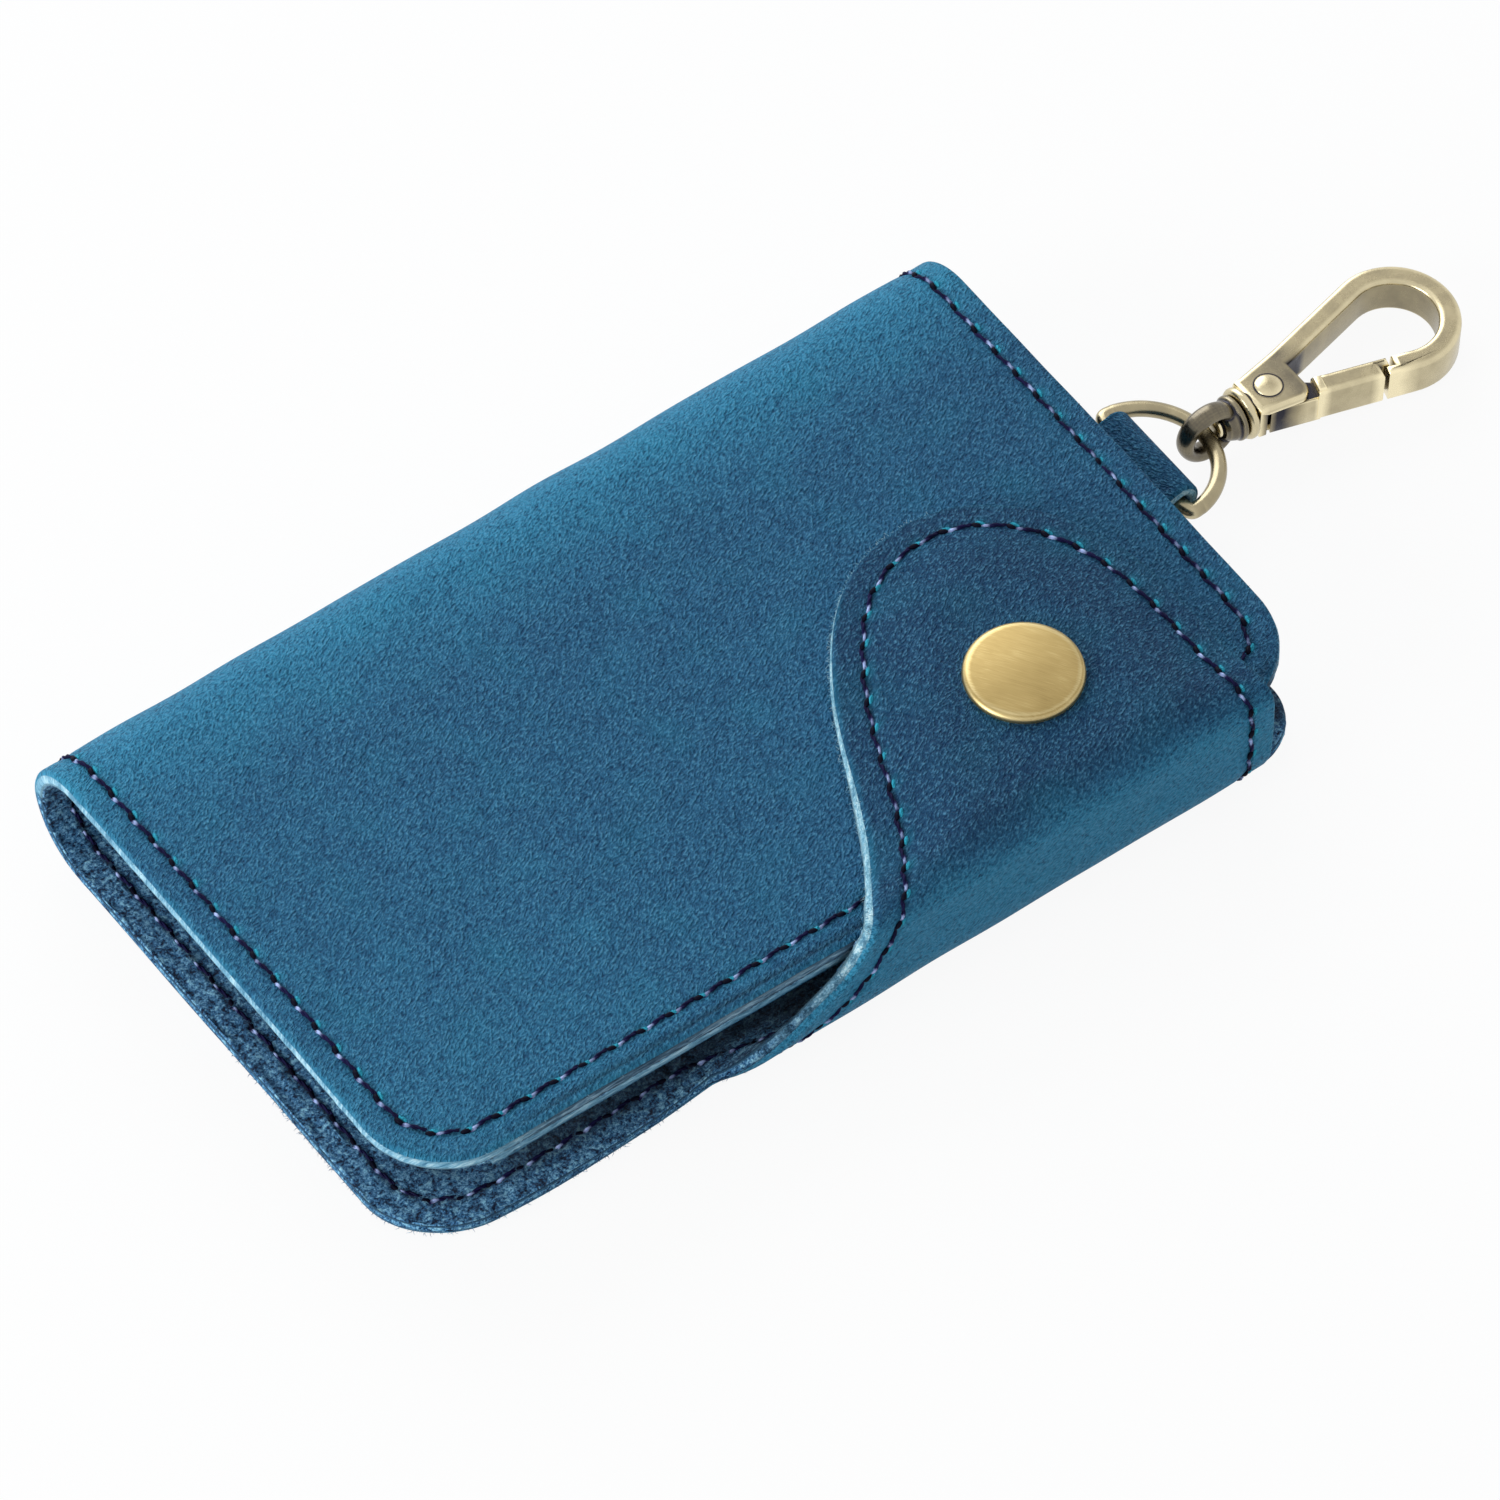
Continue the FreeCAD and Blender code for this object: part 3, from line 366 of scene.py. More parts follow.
def store_uv(mesh: bpy.types.Mesh, places: Array) -> None:
    """Keep flat places as a mesh's UVs.

    Args:
        mesh: The mesh.
        places: The flat place of each vertex, in millimetres.
    """
    layer = mesh.uv_layers.new(name="flat")
    shown = (places * UV_PER_MM)[read(mesh.loops, "vertex_index", kind=np.int32)]
    layer.data.foreach_set("uv", shown.astype(np.float32).ravel())


def store_wear_and_painted_light(item: Piece, dark: Array | float = 0.0) -> None:
    """Keep how far each vertex stands out, so that edges look rubbed bright, partly as a painted highlight,
    and corners dark, partly as painted shade.

    Args:
        item: The piece.
        dark: How much darker each vertex is.
    """
    mesh = item.data
    points = read(mesh.vertices, "co", 3)
    normals = read(mesh.vertices, "normal", 3)
    pairs = read(mesh.edges, "vertices", 2, int)
    total = np.zeros(len(points))
    number = np.zeros(len(points))
    for here, there in (pairs.T, pairs.T[::-1]):
        run = unit(points[there] - points[here])
        np.add.at(total, here, -np.einsum("ij,ij->i", run, normals[here]))
        np.add.at(number, here, 1)
    contrast = 3
    wear_and_painted_light = np.tanh(contrast * total / np.maximum(number, 1)) - dark
    store(mesh, "wear_and_painted_light", np.clip(wear_and_painted_light, -1, 1))


def dress(item: Piece, materials: Sequence[Material], kinds: Array | None = None) -> None:
    """Give a piece its materials.

    Args:
        item: The piece.
        materials: The materials, in the order of their numbers.
        kinds: The number of each face's material, if there are several.
    """
    item.data.materials.clear()
    for material in materials:
        item.data.materials.append(material)
    if kinds is not None:
        item.data.polygons.foreach_set("material_index", kinds.astype(np.int32))


def dress_node(node: str, material: Material) -> None:
    """Give a CAD node that stays in view its finish."""
    dress(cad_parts[node], [material])


def applied(item: Piece, name: str) -> Piece:
    """Replace a piece by one with its modifiers applied.

    Args:
        item: The piece with modifiers.
        name: The new piece's name.

    Returns:
        The new piece.
    """
    graph = bpy.context.evaluated_depsgraph_get()
    mesh = bpy.data.meshes.new_from_object(item.evaluated_get(graph))
    bpy.data.objects.remove(item)
    mesh.name = name
    return linked(name, mesh)


def joined(name: str, items: Sequence[Piece]) -> Piece:
    """Join pieces into one.

    Args:
        name: The new piece's name.
        items: The pieces, which are removed.

    Returns:
        The new piece.
    """
    work = bmesh.new()
    for item in items:
        work.from_mesh(item.data)
        bpy.data.objects.remove(item)
    return from_work(name, work)


def ring_quads(index: Array) -> Array:
    """Join rings of vertices by quads.

    Args:
        index: The vertex numbers, whose last axis goes round a ring.

    Returns:
        The vertex numbers of each quad.
    """
    beside = np.roll(index, -1, axis=-1)
    quads = [index[..., :-1, :], beside[..., :-1, :], beside[..., 1:, :], index[..., 1:, :]]
    return np.stack(quads, -1).reshape(-1, 4)


def turned(name: str, profile: Sequence[Pair], segments: int = 64) -> Piece:
    """Turn an outline about the X axis.

    Args:
        name: The piece's name.
        profile: Places along the axis and radii, from one end to the other.
        segments: How many sides the turned piece has.

    Returns:
        The closed piece.
    """
    angles = np.linspace(0, 2 * math.pi, segments, endpoint=False)
    along, radius = np.array(profile).T
    rounds = [np.outer(radius, turn).ravel() for turn in (np.cos(angles), np.sin(angles))]
    points = np.stack([np.repeat(along, segments), *rounds], 1)
    index = np.arange(len(points)).reshape(len(along), segments)
    item = new_object(name, points, [*ring_quads(index).tolist(), *index[[0, -1]].tolist()])
    outward(item.data)
    return item


def tube(name: str, centres: Array, radius: float, across: float, upright: Triple, sides: int = 20) -> Piece:
    """Sweep an oval along a closed flat line.

    Args:
        name: The piece's name.
        centres: The line's points.
        radius: Half the oval in the line's own plane.
        across: Half the oval square to that plane.
        upright: The direction square to the plane.
        sides: How many sides the oval has.

    Returns:
        The closed tube.
    """
    up = np.array(upright, float)
    out = np.cross(unit(np.roll(centres, -1, axis=0) - np.roll(centres, 1, axis=0)), up)
    angles = np.linspace(0, 2 * math.pi, sides, endpoint=False)[None, :, None]
    points = centres[:, None] + radius * np.cos(angles) * out[:, None] + across * np.sin(angles) * up
    index = np.arange(len(centres) * sides).reshape(-1, sides)
    item = new_object(name, points.reshape(-1, 3), ring_quads(np.vstack([index, index[:1]])))
    outward(item.data)
    return item


def block(name: str, line: Array, low: float, high: float, edge: float, steps: int = 3) -> Piece:
    """Raise an outline into a plate with rounded edges.

    Args:
        name: The piece's name.
        line: The outline's points, in order.
        low: The plate's lower face.
        high: The plate's upper face.
        edge: The radius of the rounded edges.
        steps: How many steps round an edge.

    Returns:
        The closed plate.
    """
    work = bmesh.new()
    rings = [[work.verts.new((x, y, level)) for x, y in line] for level in (low, high)]
    for ring in rings:
        work.faces.new(ring)
    after = np.roll(np.arange(len(line)), -1)
    base, lid = rings
    for here, there in enumerate(after):
        work.faces.new([base[here], base[there], lid[there], lid[here]])
    rims = [work.edges.get((ring[here], ring[there])) for ring in rings for here, there in enumerate(after)]
    bmesh.ops.recalc_face_normals(work, faces=work.faces)
    bmesh.ops.bevel(work, geom=rims, offset=edge, offset_type="OFFSET", segments=steps, profile=0.5,
                    affect="EDGES", clamp_overlap=True)
    lids = [face for face in work.faces if len(face.verts) > 4]
    bmesh.ops.inset_individual(work, faces=lids, thickness=edge / 4)
    bmesh.ops.scale(work, vec=(MM, MM, MM), verts=work.verts)
    return from_work(name, work)


class NodeSheet:
    """A new material and the few calls that its nodes need."""

    MIX_COLOURS = (6, 7)
    MIX_RESULT = 2

    def __init__(self, name: str) -> None:
        """Start a material with one shader.

        Args:
            name: The material's name.
        """
        self.material = bpy.data.materials.new(name)
        self.material.use_nodes = True
        self.tree = self.material.node_tree
        self.shader = self.tree.nodes["Principled BSDF"]

    def add(self, kind: str, **values: object) -> bpy.types.Node:
        """Add a node.

        Args:
            kind: The node's type.
            values: Its properties and inputs, by name.

        Returns:
            The node.
        """
        node = self.tree.nodes.new(kind)
        for name, value in values.items():
            if hasattr(node, name):
                setattr(node, name, value)
            else:
                node.inputs[name].default_value = value
        return node

    def join(self, source: object, target: Socket) -> None:
        """Lead a socket to another, or set the other.

        Args:
            source: A socket, a number or a colour.
            target: The other socket.
        """
        if isinstance(source, (int, float)):
            target.default_value = source
        elif isinstance(source, tuple):
            target.default_value = (*source, 1)
        else:
            self.tree.links.new(source, target)

    def scaled(self, source: Socket, size: float, stretch: float, turn: float) -> Socket:
        """Change places to millimetres.

        Args:
            source: The places.
            size: What a millimetre measures there.
            stretch: How much lengths in the first direction count, under 1 to draw a pattern out.
            turn: The angle of that direction.

        Returns:
            The changed places.
        """
        mapping = self.add("ShaderNodeMapping", vector_type="TEXTURE", Rotation=(0, 0, turn))
        mapping.inputs["Scale"].default_value = (size / stretch, size, size)
        self.join(source, mapping.inputs["Vector"])
        return mapping.outputs["Vector"]

    def flat_place(self, stretch: float = 1.0, turn: float = 0.0) -> Socket:
        """Return places on the flat leather in millimetres."""
        return self.scaled(self.add("ShaderNodeUVMap", uv_map="flat").outputs["UV"], UV_PER_MM, stretch, turn)

    def solid_place(self, stretch: float = 1.0, turn: float = 0.0) -> Socket:
        """Return places in the object in millimetres."""
        return self.scaled(self.add("ShaderNodeTexCoord").outputs["Object"], MM, stretch, turn)

    def noise(self, place: Socket, size: float, detail: float = 4.0, rough: float = 0.55) -> Socket:
        """Add noise.

        Args:
            place: The places.
            size: About how large its patches are.
            detail: How many finer layers it has.
            rough: How strong these are.

        Returns:
            The noise.
        """
        node = self.add("ShaderNodeTexNoise", Scale=1 / size, Detail=detail, Roughness=rough)
        self.join(place, node.inputs["Vector"])
        return node.outputs["Fac"]

    def cells(self, place: Socket, size: float, smooth: float = 0.6) -> Socket:
        """Add cells.

        Args:
            place: The places.
            size: About how large a cell is.
            smooth: How far the cells run together.

        Returns:
            The distance into a cell.
        """
        node = self.add("ShaderNodeTexVoronoi", feature="SMOOTH_F1", Scale=1 / size, Smoothness=smooth)
        self.join(place, node.inputs["Vector"])
        return node.outputs["Distance"]

    def number(self, name: str) -> Socket:
        """Return a number kept on the mesh."""
        return self.add("ShaderNodeAttribute", attribute_name=name).outputs["Fac"]

    def math(self, operation: str, first: object, last: object = 0.0, clamp: bool = False) -> Socket:
        """Reckon with two sockets or numbers.

        Args:
            operation: What is done with them.
            first: The first one.
            last: The second one.
            clamp: Whether the result stays between 0 and 1.

        Returns:
            The result.
        """
        node = self.add("ShaderNodeMath", operation=operation, use_clamp=clamp)
        for socket, value in zip(node.inputs, (first, last)):
            self.join(value, socket)
        return node.outputs[0]

    def total(self, *terms: tuple[Socket, float], start: float = 0.0) -> Socket:
        """Add sockets up.

        Args:
            terms: Each socket, with the factor that it counts by.
            start: A number to add to them.

        Returns:
            The sum.
        """
        result: object = start
        for source, factor in terms:
            result = self.math("ADD", result, self.math("MULTIPLY", source, factor))
        return result

    def ramp(self, source: Socket, places: Sequence[float], colours: Sequence[Colour]) -> Socket:
        """Turn a number into a colour.

        Args:
            source: The number.
            places: Where each colour is reached.
            colours: The colours.

        Returns:
            The colour.
        """
        node = self.add("ShaderNodeValToRGB")
        self.join(source, node.inputs["Fac"])
        elements = node.color_ramp.elements
        while len(elements) < len(places):
            elements.new(0.5)
        for element, place, colour in zip(elements, places, colours):
            element.position = place
            element.color = (*colour, 1)
        return node.outputs["Color"]

    def tint(self, colour: Socket, target: object, source: Socket, factor: object) -> Socket:
        """Mix a colour with another.

        Args:
            colour: The colour.
            target: The other colour.
            source: The number that the mix follows.
            factor: What the number is multiplied by.

        Returns:
            The mixed colour.
        """
        node = self.add("ShaderNodeMix", data_type="RGBA")
        self.join(self.math("MULTIPLY", source, factor, True), node.inputs["Factor"])
        for socket, value in zip(self.MIX_COLOURS, (colour, target)):
            self.join(value, node.inputs[socket])
        return node.outputs[self.MIX_RESULT]

    def between(self, source: Socket, low: float, high: float) -> Socket:
        """Stretch a number between two limits.

        Args:
            source: The number, from 0 to 1.
            low: What 0 becomes.
            high: What 1 becomes.

        Returns:
            The stretched number.
        """
        node = self.add("ShaderNodeMapRange", **{"To Min": low, "To Max": high})
        self.join(source, node.inputs["Value"])
        return node.outputs["Result"]

    def bump(self, height: Socket, depth: float, strength: float) -> Socket:
        """Raise a relief.

        Args:
            height: The relief.
            depth: How deep it is, in millimetres.
            strength: How much of it is seen.

        Returns:
            The direction of the surface.
        """
        node = self.add("ShaderNodeBump", Strength=strength, Distance=depth * MM)
        self.join(height, node.inputs["Height"])
        return node.outputs["Normal"]

    def finish(self, colour: Socket, rough: Socket, normal: Socket, **constants: float) -> Material:
        """Join the shader's inputs.

        Args:
            colour: The colour.
            rough: How rough the surface is.
            normal: The surface's direction.
            constants: Other inputs, with _ for the spaces in their names.

        Returns:
            The material.
        """
        for name, socket in {"Base Color": colour, "Roughness": rough, "Normal": normal}.items():
            self.join(socket, self.shader.inputs[name])
        for name, value in constants.items():
            self.shader.inputs[name.replace("_", " ")].default_value = value
        return self.material


@dataclass(frozen=True)
class GrainLeather:
    """Oiled leather with a fine grain that turns lighter where it is bent or pulled, with a painted highlight
    on the grain's crests and painted shade in its valleys.
    """

    name: str = "grain_leather"
    deep: Colour = srgb(30, 62, 94)
    body: Colour = srgb(48, 104, 142)
    light: Colour = srgb(60, 142, 181)
    pulled: Colour = srgb(52, 186, 214)
    # Near-black colour of the painted shade along the stitch lines, also used for the creases.
    painted_shade_and_crease: Colour = srgb(6, 9, 18)
    painted_crest_highlight: Colour = srgb(112, 180, 218)
    painted_valley_shade: Colour = srgb(6, 46, 84)
    pebble: float = 0.36
    wrinkle: float = 0.22
    patch: float = 3.0
    broad: float = 22.0
    drawn: float = 0.58
    turn: float = 0.45
    uneven: float = 0.14
    wrinkle_rise: float = 1.3
    pebble_rise: float = -0.45
    middle: float = 0.47
    grain_tone: float = 0.4
    painted_crest_gain: float = 1.3
    painted_valley_gain: float = -1.7
    pull_gain: float = 0.8
    bump: Pair = (0.5, 1.0)
    rough: Pair = (0.42, 0.6)
    gloss: float = 0.06

    def make(self) -> Material:
        """Build the material.

        Returns:
            The material.
        """
        sheet = NodeSheet(self.name)
        place = sheet.flat_place()
        drawn = sheet.flat_place(self.drawn, self.turn)
        broad = sheet.noise(place, self.broad, detail=3.0)
        patch = sheet.noise(place, self.patch, detail=3.0)
        wrinkles = sheet.noise(drawn, self.wrinkle, detail=2.0, rough=0.5)
        pebbles = sheet.cells(drawn, self.pebble)
        relief = sheet.total((wrinkles, self.wrinkle_rise), (pebbles, self.pebble_rise))
        rise = sheet.math("SUBTRACT", relief, self.middle)
        # The grain's relief also lightens and darkens the tone, as painted light and shade.
        tone = sheet.total((sheet.number("shade"), 1.0), (broad, self.uneven), (patch, self.uneven),
                           (rise, self.grain_tone), start=-self.uneven)
        colour = sheet.ramp(tone, (0.0, 0.5, 1.0), (self.deep, self.body, self.light))
        # Painted highlight on the grain's crests and painted shade in its valleys.
        colour = sheet.tint(colour, self.painted_crest_highlight, rise, self.painted_crest_gain)
        colour = sheet.tint(colour, self.painted_valley_shade, rise, self.painted_valley_gain)
        colour = sheet.tint(colour, self.pulled, sheet.number("pull"), self.pull_gain)
        # Painted shade along the stitch lines, and the darker creases.
        colour = sheet.tint(colour, self.painted_shade_and_crease, sheet.number("painted_shade_and_crease"), 1.0)
        normal = sheet.bump(relief, *self.bump)
        return sheet.finish(colour, sheet.between(patch, *self.rough), normal, Specular_IOR_Level=self.gloss)


@dataclass(frozen=True)
class FleshLeather:
    """The napped inner face of the leather."""

    name: str = "flesh_leather"
    dark: Colour = srgb(15, 33, 60)
    body: Colour = srgb(70, 132, 184)
    light: Colour = srgb(162, 224, 250)
    # Near-black colour of the painted shade on the flesh side.
    painted_shut_shadow: Colour = srgb(10, 18, 32)
    tuft: float = 0.36
    clump: float = 1.2
    tuft_share: float = 0.6
    steps: Triple = (0.43, 0.505, 0.59)
    painted_shade_gain: float = 0.9
    bump: Pair = (0.6, 1.0)
    rough: Pair = (0.86, 1.0)
    gloss: float = 0.1
    sheen: Pair = (0.12, 0.5)

    def make(self) -> Material:
        """Build the material.

        Returns:
            The material.
        """
        sheet = NodeSheet(self.name)
        place = sheet.flat_place()
        tufts = sheet.noise(place, self.tuft, detail=5.0, rough=0.75)
        clumps = sheet.noise(place, self.clump, detail=4.0, rough=0.65)
        tone = sheet.total((tufts, self.tuft_share), (clumps, 1 - self.tuft_share))
        colour = sheet.ramp(tone, self.steps, (self.dark, self.body, self.light))
        # Painted shade: the flesh is darker inside the case, under the front's near edge and along the stitch
        # lines.
        colour = sheet.tint(colour, self.painted_shut_shadow, sheet.number("painted_shade_and_crease"), self.painted_shade_gain)
        normal = sheet.bump(tone, *self.bump)
        return sheet.finish(colour, sheet.between(clumps, *self.rough), normal, Specular_IOR_Level=self.gloss,
                            Sheen_Weight=self.sheen[0], Sheen_Roughness=self.sheen[1])


@dataclass(frozen=True)
class CutEdge:
    """The pale cut edge of dyed leather, with its fibres, napped where it fades."""

    name: str = "cut_edge"
    dark: Colour = srgb(80, 134, 166)
    body: Colour = srgb(146, 202, 224)
    pale: Colour = srgb(218, 244, 250)
    crease: Colour = srgb(20, 40, 60)
    creased: float = 0.15
    fade_crease: float = 0.7
    drawn: float = 1.0
    fibre: float = 0.3
    clump: float = 1.6
    fibre_share: float = 0.6
    steps: Triple = (0.4, 0.5, 0.6)
    nap_steps: Triple = FleshLeather.steps
    nap: tuple[Colour, Colour, Colour] = (FleshLeather.dark, FleshLeather.body, FleshLeather.light)
    bump: Pair = (0.25, 0.9)
    rough: Pair = (0.6, 0.85)
    gloss: float = 0.1

    def make(self) -> Material:
        """Build the material.

        Returns:
            The material.
        """
        sheet = NodeSheet(self.name)
        place = sheet.flat_place(self.drawn)
        fibres = sheet.noise(place, self.fibre, detail=5.0, rough=0.7)
        clumps = sheet.noise(place, self.clump, detail=3.0)
        tone = sheet.total((fibres, self.fibre_share), (clumps, 1 - self.fibre_share))
        colour = sheet.ramp(tone, self.steps, (self.dark, self.body, self.pale))
        fade = sheet.number("fade")
        colour = sheet.tint(colour, sheet.ramp(tone, self.nap_steps, self.nap), fade, 1.0)
        aside = sheet.math("ABSOLUTE", sheet.math("SUBTRACT", sheet.number("level"), 0.5))
        line = sheet.math("POWER", sheet.math("MULTIPLY", aside, 2.0), 2.0)
        dark = sheet.total((fade, self.fade_crease), start=self.creased)
        colour = sheet.tint(colour, self.crease, line, dark)
        normal = sheet.bump(fibres, *self.bump)
        return sheet.finish(colour, sheet.between(clumps, *self.rough), normal, Specular_IOR_Level=self.gloss)


@dataclass(frozen=True)
class LayerEdge(CutEdge):
    """The cut edge of the front and the pocket, greyer where they lie together."""

    name: str = "layer_edge"
    dark: Colour = srgb(70, 124, 156)
    body: Colour = srgb(124, 180, 208)
    pale: Colour = srgb(184, 222, 236)
    drawn: float = 0.15
    nap: tuple[Colour, Colour, Colour] = (srgb(40, 58, 78), srgb(92, 124, 150), srgb(146, 178, 198))


@dataclass(frozen=True)
class Thread:
    """Dark waxed thread, lighter towards a painted lilac highlight."""

    name: str = "waxed_thread"
    dark: Colour = srgb(8, 8, 26)
    body: Colour = srgb(30, 28, 74)
    # Colour of the painted highlight, reached where a stitch's tone peaks.
    painted_gleam: Colour = srgb(176, 196, 244)
    stops: Triple = (0.15, 0.45, 0.95)
    fibre: float = 0.12
    uneven: float = 0.3
    bump: Pair = (0.03, 0.6)
    rough: Pair = (0.4, 0.62)
    gloss: float = 0.05

    def make(self) -> Material:
        """Build the material.

        Returns:
            The material.
        """
        sheet = NodeSheet(self.name)
        fibres = sheet.noise(sheet.solid_place(), self.fibre, detail=3.0)
        tone = sheet.total((fibres, self.uneven), (sheet.number("tone"), 1.0), start=-self.uneven / 2)
        colour = sheet.ramp(tone, self.stops, (self.dark, self.body, self.painted_gleam))
        normal = sheet.bump(fibres, *self.bump)
        return sheet.finish(colour, sheet.between(fibres, *self.rough), normal, Specular_IOR_Level=self.gloss)


@dataclass(frozen=True)
class AntiqueBrass:
    """Cast brass with a dark finish, rubbed bright along its edges and partly lit there by a painted
    highlight, and darker in its hollows with patina and painted shade.
    """

    name: str = "antique_brass"
    recess_patina_and_painted_shade: Colour = srgb(50, 50, 58)
    body: Colour = srgb(165, 154, 125)
    rubbed_and_painted_highlight: Colour = srgb(246, 233, 194)
    stops: Triple = (0.08, 0.44, 0.78)
    cloud: float = 2.4
    grit: float = 0.18
    wear_gain: float = 0.6
    uneven: float = 0.24
    middle: float = 0.42
    bump: Pair = (0.015, 0.25)
    rough: Pair = (0.2, 0.34)

    def make(self) -> Material:
        """Build the material.

        Returns:
            The material.
        """
        sheet = NodeSheet(self.name)
        place = sheet.solid_place()
        cloud = sheet.noise(place, self.cloud, detail=3.0)
        grit = sheet.noise(place, self.grit, detail=3.0)
        wear_and_painted_light = sheet.total((sheet.number("wear_and_painted_light"), self.wear_gain), (cloud, self.uneven),
                           start=self.middle - self.uneven / 2)
        colour = sheet.ramp(wear_and_painted_light, self.stops, (self.recess_patina_and_painted_shade, self.body, self.rubbed_and_painted_highlight))
        normal = sheet.bump(grit, *self.bump)
        return sheet.finish(colour, sheet.between(cloud, *self.rough), normal, Metallic=1.0)


@dataclass(frozen=True)
class BrushedBrass:
    """Brass brushed in one direction, as on the snap's cap."""

    name: str = "brushed_brass"
    dark: Colour = srgb(138, 118, 74)
    body: Colour = srgb(164, 143, 94)
    bright: Colour = srgb(214, 198, 150)
    stops: Triple = (0.3, 0.5, 0.78)
    turn: float = -0.99
    drawn: float = 0.03
    line: float = 0.1
    cloud: float = 5.0
    line_gain: float = 0.3
    cloud_gain: float = 0.25
    wear_gain: float = 0.5
    middle: float = 0.2
    bump: Pair = (0.012, 0.4)
    rough: Pair = (0.34, 0.44)

    def make(self) -> Material:
        """Build the material.

        Returns:
            The material.
        """
        sheet = NodeSheet(self.name)
        lines = sheet.noise(sheet.solid_place(self.drawn, self.turn), self.line, detail=3.0, rough=0.6)
        cloud = sheet.noise(sheet.solid_place(), self.cloud, detail=2.0)
        # The rim stands out, so it is lighter: wear and a painted highlight.
        tone = sheet.total((lines, self.line_gain), (cloud, self.cloud_gain),
                           (sheet.number("wear_and_painted_light"), self.wear_gain), start=self.middle)
        colour = sheet.ramp(tone, self.stops, (self.dark, self.body, self.bright))
        normal = sheet.bump(lines, *self.bump)
        return sheet.finish(colour, sheet.between(cloud, *self.rough), normal, Metallic=1.0)


@dataclass(frozen=True)
class SatinSteel:
    """Plated steel with a fine satin grain."""

    name: str = "satin_steel"
    dark: Colour = srgb(128, 124, 116)
    bright: Colour = srgb(206, 202, 194)
    stops: Pair = (0.3, 0.7)
    drawn: float = 0.2
    grain: float = 0.25
    cloud: float = 4.0
    bump: Pair = (0.01, 0.3)
    rough: Pair = (0.26, 0.42)

    def make(self) -> Material:
        """Build the material.

        Returns:
            The material.
        """
        sheet = NodeSheet(self.name)
        grain = sheet.noise(sheet.solid_place(self.drawn), self.grain)
        cloud = sheet.noise(sheet.solid_place(), self.cloud, detail=2.0)
        colour = sheet.ramp(sheet.total((grain, 0.5), (cloud, 0.5)), self.stops, (self.dark, self.bright))
        normal = sheet.bump(grain, *self.bump)
        return sheet.finish(colour, sheet.between(grain, *self.rough), normal, Metallic=1.0)


class Finishes:
    """Every material of the case, made once."""

    def __init__(self) -> None:
        """Make the materials."""
        self.grain = GrainLeather().make()
        self.flesh = FleshLeather().make()
        self.cut = CutEdge().make()
        self.layer = LayerEdge().make()
        self.thread = Thread().make()
        self.brass = AntiqueBrass().make()
        self.cap = BrushedBrass().make()
        self.steel = SatinSteel().make()
        self.spring = SatinSteel("spring_steel", srgb(96, 94, 92), srgb(168, 166, 162)).make()

    def leather(self) -> list[Material]:
        """Return a leather piece's materials in the order of Face."""
        return [self.grain, self.flesh, self.cut, self.layer]


